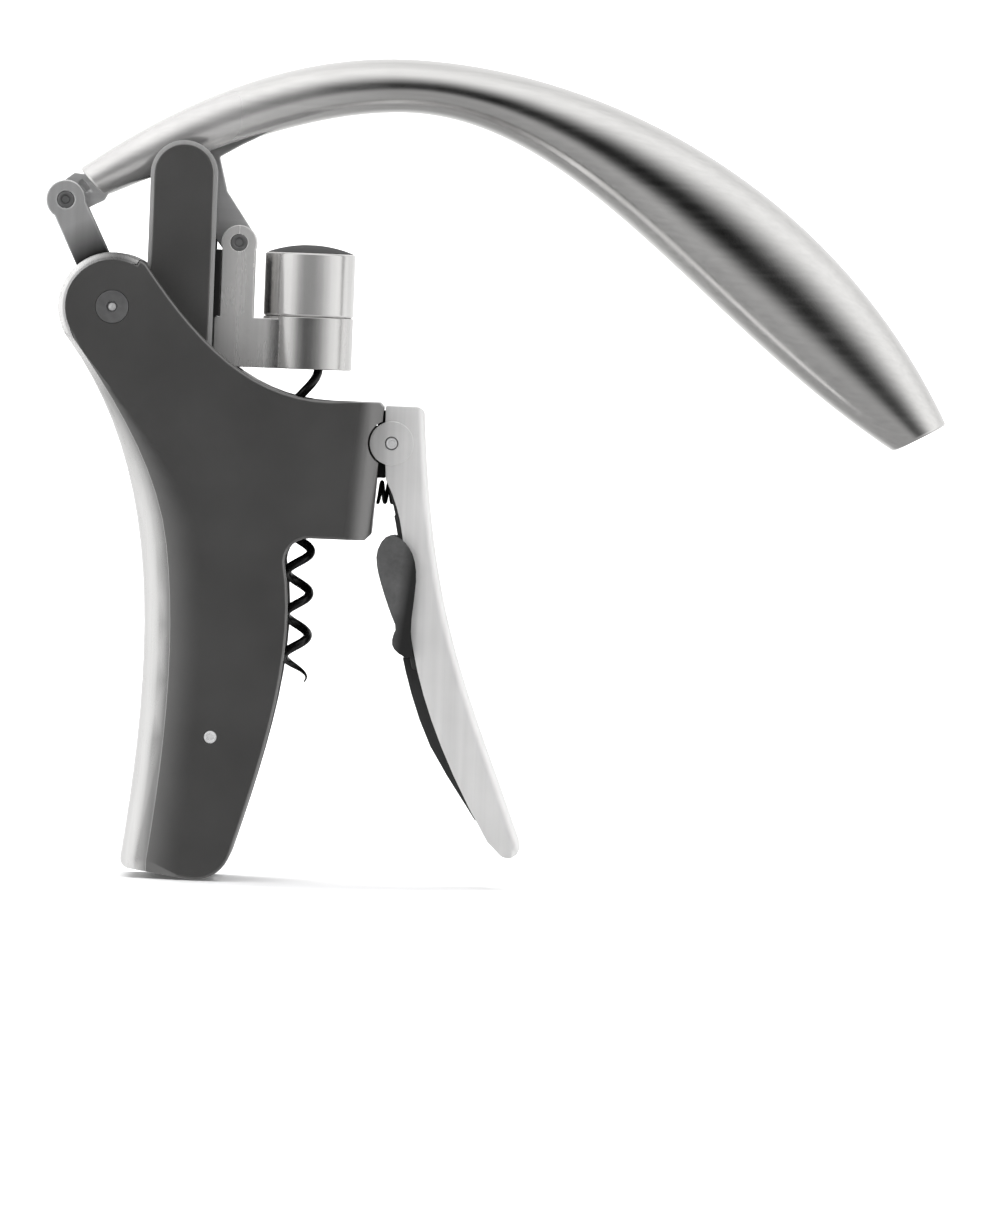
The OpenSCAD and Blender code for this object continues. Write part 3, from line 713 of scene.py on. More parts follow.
@dataclass(frozen=True)
class SatinMetal:
    """Plated or brushed metal with fine lines and faint handling marks.

    Optional touches, in millimetres; the dark ones are painted shade laid into the colour:
        polish: axis, where it starts and ends, and how metallic the metal is past its end.
        painted_shade_end: painted shade round a point (x, z), and the reach of full shade and of no
            shade round it.
        painted_shade_ring: painted shade in a ring round a node's axle: the node, the ring's radius
            and half its width.
        painted_shade_inside: painted shade on the metal nearer the middle plane than this distance.
    """

    name: str
    level: float
    tint: Triple = PLAIN
    roughness: float = 0.24
    grain: Grain = Grain.EVEN
    line_depth: float = 0.10
    metallic: float = 1.0
    polish: tuple[str, float, float, float] | None = None
    painted_shade_end: tuple[float, float, float, float] | None = None
    painted_shade_ring: tuple[str, float, float] | None = None
    painted_shade_inside: float | None = None
    painted_shade_levels: Triple = (30.0, 72.0, 24.0)
    spread: Point2 = (-9.0, 5.0)
    smudge_scale: float = 55.0
    pore_scale: float = 2600.0
    relief_depth: float = 0.03

    def paint_shade(self, sheet: FinishSheet, colour: Socket) -> Socket:
        """Lay the painted shade over a colour: darkening round a point, in a ring and near the
        middle plane.

        Args:
            sheet: the metal's nodes.
            colour: the plain metal's colour.

        Returns:
            The colour with its painted shade.
        """
        # colours of the painted shade: round a point, in a ring, and near the middle plane
        end, ring, inside = (tone(level) for level in self.painted_shade_levels)
        if self.painted_shade_end is not None:
            x, z, near, far = self.painted_shade_end
            share = sheet.remap(sheet.distance(x, z), 1.0, 0.0, near * MM, far * MM)
            colour = sheet.mix(share, colour, end)
        if self.painted_shade_ring is not None:
            node, middle, half = self.painted_shade_ring
            axle = box_of(node)[2] / MM
            away = sheet.math("SUBTRACT", sheet.distance(axle.x, axle.z), middle * MM)
            share = sheet.remap(sheet.math("ABSOLUTE", away), 1.0, 0.0,
                                half * 0.6 * MM, half * 1.2 * MM)
            colour = sheet.mix(share, colour, ring)
        if self.painted_shade_inside is not None:
            share = sheet.remap(sheet.math("ABSOLUTE", sheet.axis("Y")), 1.0, 0.0,
                                (self.painted_shade_inside - 0.2) * MM, self.painted_shade_inside * MM)
            colour = sheet.mix(share, colour, inside)
        return colour

    def build(self) -> Finish:
        """Mix the metal: brushing, smudges, small pores and any painted shade.

        Returns:
            The material.
        """
        sheet = FinishSheet(self.name)
        lines = sheet.noise(self.grain.value, detail=2.0, rough=0.5)
        smudge = sheet.noise(self.smudge_scale, detail=4.0, rough=0.6)
        pores = sheet.noise(self.pore_scale, detail=1.0)
        pattern = sheet.weigh(lines, 0.5, smudge)
        colour = sheet.shades(self.level, self.spread, pattern, self.tint)
        sheet.feed("Base Color", self.paint_shade(sheet, colour))
        metallic: Socket | float = self.metallic
        if self.polish is not None:
            axis, start, end, bright = self.polish
            metallic = sheet.remap(sheet.axis(axis), metallic, bright, start * MM, end * MM)
        sheet.feed("Metallic", metallic)
        sheet.rough(lines, 0.03, smudge, (self.roughness - 0.03, self.roughness + 0.04))
        sheet.relief(sheet.weigh(lines, 0.85, pores), self.line_depth, self.relief_depth)
        return sheet.material


@dataclass(frozen=True)
class Moulding:
    """Moulded plastic, rubber or a coated wire."""

    name: str
    level: float
    roughness: float = 0.45
    depth: float = 0.2
    gloss: float = 0.5
    spread: Point2 = (-5.0, 6.0)
    spark_scale: float = 1500.0
    patch_scale: float = 70.0
    relief_depth: float = 0.06

    def build(self) -> Finish:
        """Mix the moulding: fine spark texture and soft patches.

        Returns:
            The material.
        """
        sheet = FinishSheet(self.name)
        spark = sheet.noise(self.spark_scale, rough=0.6)
        patch = sheet.noise(self.patch_scale)
        pattern = sheet.weigh(spark, 0.5, patch)
        sheet.feed("Base Color", sheet.shades(self.level, self.spread, pattern))
        sheet.rough(spark, 0.05, patch, (self.roughness - 0.04, self.roughness + 0.04))
        sheet.feed("Specular IOR Level", self.gloss)
        sheet.relief(spark, self.depth, self.relief_depth)
        return sheet.material


@dataclass(frozen=True)
class JawRubber:
    """Rubber of the jaw: a rubbed grey pad that darkens towards its seat on the trigger, painted
    there with the black liner's colour and with the shade of the gap.
    """

    name: str
    level: float
    spread: Point2 = (-12.0, 14.0)
    liner_and_shade_level: float = 26.0
    liner_and_shade_line: float = 25.9
    fade: float = 1.4
    lean: float = -0.12
    spark_scale: float = 1100.0
    patch_scale: float = 130.0
    roughness: Point2 = (0.48, 0.62)
    texture: Point2 = (0.2, 0.06)

    def build(self) -> Finish:
        """Mix the rubber: fine texture, rubbed patch, and a dark seat side painted with the liner's
        black and the gap's shade.

        Returns:
            The material.
        """
        sheet = FinishSheet(self.name)
        spark = sheet.noise(self.spark_scale, rough=0.6)
        patch = sheet.noise(self.patch_scale, detail=2.0)
        pad = sheet.shades(self.level, self.spread, sheet.weigh(spark, 0.35, patch))
        # painted: the pad turns dark past a leaning line towards the trigger, for the black liner
        # there and the shade in the gap
        leaning = sheet.math("MULTIPLY", sheet.axis("Z"), self.lean)
        seat = sheet.remap(sheet.math("ADD", sheet.axis("X"), leaning), 0.0, 1.0,
                           (self.liner_and_shade_line - self.fade) * MM, (self.liner_and_shade_line + self.fade) * MM)
        sheet.feed("Base Color", sheet.mix(seat, pad, tone(self.liner_and_shade_level)))
        sheet.feed("Roughness", sheet.remap(spark, *self.roughness))
        sheet.relief(spark, *self.texture)
        return sheet.material


class FinishRack:
    """All finishes of the tool, built once."""

    def __init__(self) -> None:
        """Build every finish."""
        self.shell = PaintedShell("shell_paint", 130).build()
        self.fin = PaintedShell("fin_paint", 128).build()
        # trim_silver: painted shade on the strap at the top of the hump, where the links go in
        self.trim = SatinMetal("trim_silver", 228, SILVER_TINT, 0.28, Grain.ALONG_Z, 0.012, 0.55,
                               polish=("Z", 38.0, 28.0, 1.0),
                               painted_shade_end=(-43.0, 62.0, 0.5, 11.0)).build()
        # rail_silver: painted shade on the rails' inner faces between the fins
        self.rail = SatinMetal("rail_silver", 226, SILVER_TINT, 0.34, Grain.ALONG_Z,
                               metallic=0.6, painted_shade_inside=10.4).build()
        self.plastic = Moulding("black_plastic", 22, 0.42).build()
        self.liner = Moulding("soft_liner", 34, 0.6).build()
        self.pin = SatinMetal("pin_steel", 214, roughness=0.42, metallic=0.35).build()
        # hinge_steel: painted shade in a thin ring round the trigger pin's axle
        self.hinge = SatinMetal("hinge_steel", 226, roughness=0.42, metallic=0.35,
                                painted_shade_ring=("trigger_pin", 1.6, 0.4)).build()
        self.screw = SatinMetal("dark_screw", 112, roughness=0.42, metallic=0.6).build()
        self.spring = SatinMetal("black_spring", 70, roughness=0.34).build()
        self.cast = SatinMetal("cast_silver", 222, CHROME_TINT, 0.24, Grain.ALONG_Z, 0.03, 0.6,
                               polish=("X", -9.5, -7.0, 0.92)).build()
        self.cap = SatinMetal("cap_silver", 224, CHROME_TINT, 0.2, Grain.ALONG_Z, 0.02, 0.74,
                              polish=("X", -5.5, -8.0, 0.98)).build()
        self.crown = Moulding("crown_plastic", 66, 0.7, gloss=0.12).build()
        self.washer = SatinMetal("washer_brass", 190, BRASS_TINT, 0.3).build()
        self.worm = Moulding("worm_coating", 16, 0.26, depth=0.08).build()
        self.core = SatinMetal("core_steel", 206, roughness=0.40, grain=Grain.ALONG_X,
                               metallic=0.66, polish=("Z", 76.0, 86.0, 1.0)).build()
        self.handle = SatinMetal("handle_chrome", 226, CHROME_TINT, 0.2, Grain.ALONG_X, 0.05, 0.7,
                                 polish=("X", -22.0, 18.0, 1.0)).build()
        # link_steel: painted shade on the plates' lower ends round the hump pivot, where they go
        # into the hump
        self.link = SatinMetal("link_steel", 214, roughness=0.42, grain=Grain.ALONG_Z,
                               metallic=0.8, painted_shade_end=(-44.3, 48.0, 12.5, 21.0)).build()
        self.trigger = SatinMetal("trigger_chrome", 238, SILVER_TINT, 0.48, Grain.ALONG_Z, 0.06,
                                  0.55).build()
        self.dark_liner = Moulding("dark_liner", 40, 0.5).build()
        self.rubber = JawRubber("jaw_rubber", 76).build()


# ---- shared pieces


@dataclass(frozen=True)
class DishedPin:
    """Cross pin with a rounded rim and a ring groove pressed into each end.

    The rings are given as shares of the radius and of the groove's depth.
    """

    node: str
    name: str
    rim: float
    groove: float
    sides: int = 48
    rings: tuple[Point2, ...] = ((0.34, 0.0), (0.16, -1.0), (0.10, 0.6))
    rim_share: float = 0.98
    rim_fold: float = 60.0

    def build(self) -> Piece:
        """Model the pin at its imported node's place and size.

        Returns:
            The pin's mesh object.
        """
        low, high, middle = box_of(self.node)
        radius = (high.x - low.x) / 2
        pin = new_bar(self.name, self.sides, radius, high.y - low.y, middle, QUARTER)
        with editing(pin, "FACE"):
            pick_sides(pin, (0, -1, 0), (0, 1, 0))
            for share, sink in self.rings:
                bpy.ops.mesh.inset(thickness=radius * share, depth=self.groove * MM * sink,
                                   use_individual=True)

        def end_rim(edge: EdgeView) -> bool:
            """True on the two outer rims."""
            away = edge.from_axle(middle).length
            return edge.folded(self.rim_fold) and away > radius * self.rim_share

        round_edges(pin, self.rim, 3, end_rim)
        shade(pin, ROUND_FOLD)
        return pin


@dataclass(frozen=True)
class SmoothWire:
    """Smooth copy of a wound wire, fattened first by a part of a millimetre."""

    node: str
    name: str
    fuller: float
    fold: float = 60.0

    def build(self) -> Piece:
        """Model the wire.

        Returns:
            The wire's mesh object.
        """
        wire = copy_node(self.node, self.name, flat=0.01)
        fold = math.radians(self.fold)
        with editing(wire, "FACE"):
            bpy.ops.mesh.tris_convert_to_quads(face_threshold=fold, shape_threshold=fold)
            bpy.ops.transform.shrink_fatten(value=self.fuller * MM)
        apply_modifier(wire, "SUBSURF", levels=1, render_levels=1)
        shade(wire, self.fold, weighted=False)
        return wire


# ---- sub-assemblies


@dataclass
class Assembly:
    """Base of the sub-assemblies: its pieces ride on one body and share one rack of finishes."""

    body: ClassVar[Body]
    rack: FinishRack

    def place(self, obj: Piece, slot: str, finish: Finish, *nodes: str) -> None:
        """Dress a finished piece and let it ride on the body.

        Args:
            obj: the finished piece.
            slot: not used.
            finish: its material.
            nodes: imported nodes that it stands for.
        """
        obj.data.materials.clear()
        obj.data.materials.append(finish)
        for polygon in obj.data.polygons:
            polygon.material_index = 0
        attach(obj, self.body.value)
        if nodes:
            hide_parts(*nodes)
        LOG.info("%s: %d faces on %s", obj.name, len(obj.data.polygons), self.body.value)

    def soft(self, node: str, name: str, edge: Rounding, slot: str, finish: Finish) -> None:
        """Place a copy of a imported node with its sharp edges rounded."""
        self.place(soften(copy_node(node, name), edge), slot, finish, node)

    def pin(self, node: str, name: str, form: Point2, finish: Finish) -> None:
        """Place a dished pin, of a form given as rim and groove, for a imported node."""
        self.place(DishedPin(node, name, *form).build(), "pin_steel", finish, node)


@dataclass
class Housing(Assembly):
    """Body of the tool: covers, strap, fins, seat, nut, liner, screws, pins and spring."""

    body: ClassVar[Body] = Body.HOUSING
    half_width: float = 20.0
    pivot: Point2 = (-44.3, 48.0)
    rim_round: float = 0.7
    rim_fold: float = 35.0
    rim_shade: float = 32.0
    rim_short: float = 0.45
    screw_clear: float = 6.0
    rivet_clear: float = 4.0
    joint_front: float = 2.0
    joint_span: Point2 = (-23.0, -8.0)
    strap_round: float = 1.7
    strap_short: float = 0.4
    strap_inner: float = 12.0
    rail_edge: Rounding = Rounding(0.3, 3)
    fin_edge: Rounding = Rounding(0.35)
    lining_edge: Rounding = Rounding(0.4, fold=55.0)
    screw_edge: Rounding = Rounding(0.25)
    pin_form: Point2 = (0.3, 0.25)
    stud_sides: int = 32
    stud_radius: float = 0.9
    stud_length: float = 1.6
    stud_sunk: float = 0.55
    stud_shade: float = 60.0
    stud_rings: tuple[Point2, ...] = ((0.25, 0.14), (0.25, 0.09), (0.2, 0.04))
    block: Triple = (2.2, 13.0, 15.4)
    block_gap: float = 0.2
    block_step: Point2 = (0.5, 0.4)
    block_edge: Rounding = Rounding(0.25, fold=60.0)
    spring_fuller: float = 0.06

    @property
    def axle(self) -> Vector:
        """Middle of the hump pivot, in metres."""
        return Vector((self.pivot[0] * MM, 0, self.pivot[1] * MM))

    def build(self) -> None:
        """Build every piece of the housing."""
        self.covers()
        self.strap()
        self.fins()
        self.inner_parts()
        self.fasteners()
        self.hinge_block()
        self.spring()

    def covers(self) -> None:
        """The two dark half shells with their rims rounded."""
        rivet = box_of("grip_rivet")[2]
        low, high = self.joint_span

        def outer_rim(edge: EdgeView) -> bool:
            """True on the outline of the flat side, away from holes and the strap's joint."""
            if not (edge.folded(self.rim_fold) and edge.outside(self.half_width)):
                return False
            away = edge.from_axle(self.axle) / MM
            if away.length < self.screw_clear:
                return False
            if edge.from_axle(rivet).length < self.rivet_clear * MM:
                return False
            return not (away.x < self.joint_front and low < away.z < high)

        for node in ("front_cover", "rear_cover"):
            shell = copy_node(node, node + "_shell")
            drop_short_edges(shell, self.rim_short, outer_rim)
            round_edges(shell, self.rim_round, 3, outer_rim, clamp=False)
            shade(shell, self.rim_shade)
            self.place(shell, "dark_shell", self.rack.shell, node)

    def strap(self) -> None:
        """Silver strap along the back and round the hump."""

        def long_edge(edge: EdgeView) -> bool:
            """True on the strap's outer long edges."""
            if not (edge.folded(self.rim_fold) and edge.outside(self.half_width)):
                return False
            return edge.from_axle(self.axle).length > self.strap_inner * MM

        strap = copy_node("back_spine", "back_strap")
        drop_short_edges(strap, self.strap_short, long_edge)
        round_edges(strap, self.strap_round, 5, long_edge, clamp=False)
        shade(strap, SOFT_FOLD)
        self.place(strap, "silver_trim", self.rack.trim, "back_spine")

    def fins(self) -> None:
        """Guide rails with their dark covers, edges broken."""
        for side in ("front", "rear"):
            self.soft(f"{side}_rail", f"{side}_rail_bar", self.rail_edge,
                      "silver_rail", self.rack.rail)
            self.soft(f"{side}_fin_cover", f"{side}_fin_skin", self.fin_edge,
                      "dark_fin", self.rack.fin)

    def inner_parts(self) -> None:
        """Seat, nut, followers and lining."""
        for node in ("lip_seat", "worm_nut"):
            dress_node(node, self.rack.plastic)
        dress_node("nut_followers", self.rack.pin)
        self.soft("neck_liner", "neck_lining", self.lining_edge, "soft_liner", self.rack.liner)

    def fasteners(self) -> None:
        """Hump screws, grip rivet and the trigger's hinge pin."""
        self.soft("pivot_screws", "hump_screws", self.screw_edge, "dark_screw", self.rack.screw)
        for name, side in (("front_screw_stud", -1), ("rear_screw_stud", 1)):
            self.place(self.stud(name, side), "pin_steel", self.rack.core)
        for node, name, finish in (("grip_rivet", "grip_rivet_bar", self.rack.pin),
                                   ("trigger_pin", "trigger_hinge", self.rack.hinge)):
            self.pin(node, name, self.pin_form, finish)

    def stud(self, name: str, side: int) -> Piece:
        """Model the domed end of the hump pivot, seen in a screw's socket.

        Args:
            name: name of the piece.
            side: -1 for the front screw, 1 for the rear one.

        Returns:
            The stud's mesh object.
        """
        out = self.half_width - self.stud_sunk - self.stud_length / 2
        middle = self.axle + Vector((0, side * out * MM, 0))
        stud = new_bar(name, self.stud_sides, self.stud_radius * MM, self.stud_length * MM,
                       middle, QUARTER)
        with editing(stud, "FACE"):
            pick_sides(stud, (0, side, 0))
            for thick, depth in self.stud_rings:
                bpy.ops.mesh.inset(thickness=thick * MM, depth=depth * MM)
        shade(stud, self.stud_shade)
        return stud

    def hinge_block(self) -> None:
        """Black block between the hinge lugs, seated on the collar's front over the spring."""
        low, high, _ = box_of("trigger_spring")
        size, gap = Vector(self.block) * MM, self.block_gap * MM
        middle = (low.x + size.x / 2 - gap, 0, high.z + size.z / 2 + gap)
        border, rise = self.block_step
        block = new_block("hinge_block", size, middle)
        with editing(block, "FACE"):
            pick_sides(block, (1, 0, 0))
            bpy.ops.mesh.inset(thickness=border * MM)
            push((rise * MM, 0, 0))
        soften(block, self.block_edge)
        self.place(block, "black_plastic", self.rack.plastic)

    def spring(self) -> None:
        """Return spring of the trigger, as smooth wire with a mesh of its own; the real spring is
        pressed as the trigger closes.
        """
        wire = SmoothWire("trigger_spring", "trigger_coil", self.spring_fuller).build()
        self.place(wire, "black_spring", self.rack.spring, "trigger_spring")
        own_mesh(wire)


@dataclass
class Carriage(Assembly):
    """Sliding casting with cheeks and ring, its cap, washer, slider and hinge pin."""

    body: ClassVar[Body] = Body.CARRIAGE
    cast_edge: Rounding = Rounding(0.4, 3, 45.0)
    cap_edge: Rounding = Rounding(0.45, 3, 40.0)
    slider_edge: Rounding = Rounding(0.3)
    pin_form: Point2 = (0.25, 0.3)
    dome_rise: float = 2.0
    crown_share: float = 0.94
    crown_lift: float = 0.1
    crown_thick: float = 0.8
    crown_rings: int = 8
    crown_sides: int = 96

    def crown(self) -> Piece:
        """Model the dark crown: a disc raised ring by ring to follow the cap's dome.

        Returns:
            The crown's mesh object.
        """
        low, high, middle = box_of("carriage_cap")
        edge, rise, thick = (high.x - low.x) / 2, self.dome_rise * MM, self.crown_thick * MM
        ball = (edge ** 2 + rise ** 2) / (2 * rise)
        radii = [edge * self.crown_share * (1 - i / self.crown_rings)
                 for i in range(self.crown_rings)]
        heights = [high.z - ball + math.sqrt(ball ** 2 - r ** 2) + self.crown_lift * MM
                   for r in radii]
        spot = (middle.x, middle.y, heights[0] - thick / 2)
        disc = new_bar("cap_crown", self.crown_sides, radii[0], thick, spot)
        with editing(disc, "FACE"):
            pick_sides(disc, (0, 0, 1))
            for inner, outer, top, base in zip(radii[1:], radii, heights[1:], heights):
                bpy.ops.mesh.inset(thickness=outer - inner, depth=top - base)
        shade(disc, ROUND_FOLD)
        return disc

    def build(self) -> None:
        """Build every piece of the carriage."""
        self.soft("carriage", "carriage_casting", self.cast_edge, "cast_silver", self.rack.cast)
        self.soft("carriage_cap", "domed_cap", self.cap_edge, "cast_silver", self.rack.cap)
        self.place(self.crown(), "dark_shell", self.rack.crown)
        dress_node("thrust_washer", self.rack.washer)
        self.soft("guide_slider", "guide_block", self.slider_edge,
                  "black_plastic", self.rack.plastic)
        self.pin("carriage_pin", "cheek_pin", self.pin_form, self.rack.screw)


@dataclass
class Worm(Assembly):
    """Coated wire helix that turns in the carriage."""

    body: ClassVar[Body] = Body.WORM
    fuller: float = 0.1

    def build(self) -> None:
        """Smooth the wound wire."""
        wire = SmoothWire("worm", "worm_wire", self.fuller).build()
        self.place(wire, "worm_coating", self.rack.worm, "worm")


Curve = tuple[Point2, Point2, Point2, Point2]


@dataclass
class Lever(Assembly):
    """Cast handle, its steel core plate and the link pin."""

    body: ClassVar[Body] = Body.LEVER
    sides: int = 64
    rings: int = 92
    ring_step: float = 0.002
    rear_share: float = 0.34
    front_share: float = 0.66
    top_rear: Curve = ((-53.36, 79.25), (-32.09, 94.79), (-7.51, 107.0), (20.0, 107.0))
    top_front: Curve = ((20.0, 107.0), (62.03, 107.0), (117.99, 84.02), (146.6, 28.3))
    low_rear: Curve = ((-47.64, 73.1), (-30.1, 80.66), (-6.0, 93.56), (18.03, 94.7))
    low_front: Curve = ((18.03, 94.7), (59.02, 96.96), (89.02, 49.55), (134.79, 21.76))
    wide_rear: tuple[float, ...] = (6.4, 7.4, 8.6, 9.2)
    wide_front: tuple[float, ...] = (9.2, 10.6, 16.0, 8.4)
    end_edge: Rounding = Rounding(0.7, 4, 55.0)
    handle_shade: float = 50.0
    core_edge: Rounding = Rounding(0.35)
    core_lifts: tuple[Point2, ...] = ((-17.0, 1.0), (-11.5, 0.9), (-5.5, 0.4), (0.5, 0.2))
    core_mid: Point2 = (93.8, 0.29)
    leg_top: float = 80.0
    pin_form: Point2 = (0.3, 0.35)

    def station(self, share: float) -> tuple[Vector, Vector, float]:
        """Middle, half height vector and half width of the handle.

        Args:
            share: place along the handle, 0 at the links and 1 at the tip.

        Returns:
            The middle, the vector from it to the top edge, and the half width, in metres.
        """
        if share < self.rear_share:
            t = share / self.rear_share
            curves = self.top_rear, self.low_rear, self.wide_rear
        else:
            t = (share - self.rear_share) / self.front_share
            curves = self.top_front, self.low_front, self.wide_front
        top, low = cubic(curves[0], t), cubic(curves[1], t)
        return (top + low) / 2, (top - low) / 2, cubic_value(curves[2], t) * MM

    def handle(self) -> Piece:
        """Model the handle: a ring drawn out step by step, then each ring set on the arch.

        Returns:
            The handle's mesh object.
        """
        step = self.ring_step
        stations = [self.station(i / (self.rings - 1)) for i in range(self.rings)]
        bpy.ops.object.select_all(action="DESELECT")
        bpy.ops.mesh.primitive_circle_add(
            vertices=self.sides, radius=1.0, fill_type="NGON", rotation=(0, QUARTER, 0))
        obj = named("lever_grip")
        forms = [(wide, up.length) for _, up, wide in stations]
        with editing(obj, "FACE"):
            bpy.ops.transform.resize(value=(1.0, *forms[0]), center_override=(0, 0, 0))
            for i, (last, form) in enumerate(zip(forms, forms[1:]), start=1):
                push((step, 0, 0))
                ratio = (1.0, form[0] / last[0], form[1] / last[1])
                bpy.ops.transform.resize(value=ratio, center_override=(i * step, 0, 0))
        rings: dict[int, set[int]] = {}
        for vertex in obj.data.vertices:
            rings.setdefault(round(vertex.co.x / step), set()).add(vertex.index)
        with editing(obj, "VERT"):
            for i, (middle, up, _) in enumerate(stations):
                pick_points(obj, lambda vertex: vertex.index in rings[i])
                start = Vector((i * step, 0, 0))
                lean = math.atan2(up.x, up.z)
                bpy.ops.transform.rotate(value=-lean, orient_axis="Y", center_override=start)
                bpy.ops.transform.translate(value=middle - start)
            bpy.ops.mesh.select_all(action="SELECT")
            bpy.ops.mesh.normals_make_consistent(inside=False)
        return soften(obj, self.end_edge, self.handle_shade)

    def tuck(self, core: Piece) -> None:
        """Lift the core plate's lower front edge step by step, so that the handle hides it.

        Args:
            core: the core plate.
        """
        level, slope = self.core_mid
        with editing(core, "VERT"):
            for start, lift in self.core_lifts:

                def lower_front(vertex: bmesh.types.BMVert) -> bool:
                    """True below the plate's middle line, in front of this step's start."""
                    x, z = vertex.co.x / MM, vertex.co.z / MM
                    return x > start and self.leg_top < z < level + slope * x

                pick_points(core, lower_front)
                bpy.ops.transform.translate(value=(0, 0, lift * MM))

    def build(self) -> None:
        """Build the handle, the core plate and the link pin."""
        self.place(self.handle(), "handle_chrome", self.rack.handle, "lever_handle")
        core = copy_node("lever_core", "core_plate")
        self.tuck(core)
        soften(core, self.core_edge)
        self.place(core, "core_steel", self.rack.core, "lever_core")
        self.pin("link_pin", "link_hinge", self.pin_form, self.rack.screw)


@dataclass
class Links(Assembly):
    """Pair of link plates between lever and hump, with their foot pin."""

    body: ClassVar[Body] = Body.LINKS
    plate_edge: Rounding = Rounding(0.4, 3)

    def build(self) -> None:
        """Build both plates and dress the pin."""
        for side in ("front", "rear"):
            self.soft(f"{side}_link", f"{side}_link_plate", self.plate_edge,
                      "link_steel", self.rack.link)
        dress_node("link_foot_pin", self.rack.pin)


@dataclass
class Trigger(Assembly):
    """Silver trigger channel with its liner, the liner's lips and the jaw pad."""

    body: ClassVar[Body] = Body.TRIGGER
    half_width: float = 10.5
    corner_round: float = 1.8
    corner_fold: float = 40.0
    corner_short: float = 0.4
    corner_look: float = 0.5
    web_start: float = 26.4
    channel_edge: Rounding = Rounding(0.3, fold=60.0)
    inner_edge: Curve = ((19.2, 11.0), (29.68, -7.77), (16.58, -23.27), (45.4, -70.6))
    liner_edge: Rounding = Rounding(0.3, fold=55.0)
    lip_wide: float = 1.1
    lip_start: float = 0.6
    lip_reach: Point2 = (7.7, 10.3)
    lip_span: Point2 = (0.05, 0.66)
    lip_tuck: Point2 = (0.75, 0.25)
    lip_steps: int = 20
    lip_edge: Rounding = Rounding(0.35, fold=60.0)
    pad_short: float = 0.5
    pad_edge: Rounding = Rounding(1.0, 4, 60.0)

    def channel(self) -> Piece:
        """Model the trigger channel with its long outer corners rounded.

        Returns:
            The channel's mesh object.
        """

        def long_corner(edge: EdgeView) -> bool:
            """True on the outer corners between web and cheeks."""
            if not (edge.folded(self.corner_fold) and edge.outside(self.half_width)):
                return False
            front = max(normal.x for normal in edge.normals) > self.corner_look
            return front and edge.mid.x > self.web_start * MM

        shell = copy_node("trigger_shell", "trigger_channel")
        drop_short_edges(shell, self.corner_short, long_corner)
        round_edges(shell, self.corner_round, 5, long_corner, clamp=False)
        return soften(shell, self.channel_edge)

    def lip(self, name: str, side: int) -> Piece:
        """Model one lip of the liner: a short bar drawn down along the trigger's inner edge.

        Args:
            name: name of the piece.
            side: -1 for the front cheek, 1 for the rear one.

        Returns:
            The lip's mesh object.
        """
        near, far = self.lip_reach
        first, last = self.lip_span
        deep, until = self.lip_tuck
        line = []
        for i in range(self.lip_steps + 1):
            share = first + (last - first) * i / self.lip_steps
            sunk = deep * max(0.0, 1 - share / until)
            line.append(cubic(self.inner_edge, share) + Vector((sunk * MM, 0, 0)))
        offset = Vector((-self.lip_wide / 2, side * (near + far) / 2, self.lip_start / 2)) * MM
        size = Vector((self.lip_wide, far - near, self.lip_start)) * MM
        bar = new_block(name, size, line[0] + offset)
        with editing(bar, "FACE"):
            pick_sides(bar, (0, 0, -1))
            for here, there in zip(line, line[1:]):
                push(there - here)
        return soften(bar, self.lip_edge)

    def build(self) -> None:
        """Build the channel, liner, lips and pad."""
        self.place(self.channel(), "trigger_chrome", self.rack.trigger, "trigger_shell")
        self.soft("trigger_liner", "trigger_lining", self.liner_edge,
                  "dark_liner", self.rack.dark_liner)
        for name, side in (("front_liner_lip", -1), ("rear_liner_lip", 1)):
            self.place(self.lip(name, side), "dark_liner", self.rack.dark_liner)
        pad = copy_node("jaw_pad", "jaw_grip")
        drop_short_edges(pad, self.pad_short, sharp(self.pad_edge.fold))
        soften(pad, self.pad_edge)
        self.place(pad, "jaw_rubber", self.rack.rubber, "jaw_pad")


# ---- studio


@dataclass(frozen=True)
class SoftBox:
    """Soft light: its name, middle, width and height, watts and the point that it faces."""

    name: str
    centre: Triple
    size: Point2
    power: float
    target: Triple = (0.02, 0.0, 0.02)

    def build(self) -> None:
        """Hang the light, unseen in reflections."""
        light = bpy.data.lights.new(self.name, "AREA")
        light.shape = "RECTANGLE"
        light.size, light.size_y = self.size
        light.energy = self.power
        obj = bpy.data.objects.new(self.name, light)
        obj.location = self.centre
        way = Vector(self.target) - Vector(self.centre)
        obj.rotation_euler = way.to_track_quat("-Z", "Y").to_euler()
        obj.visible_glossy = False
        bpy.context.scene.collection.objects.link(obj)


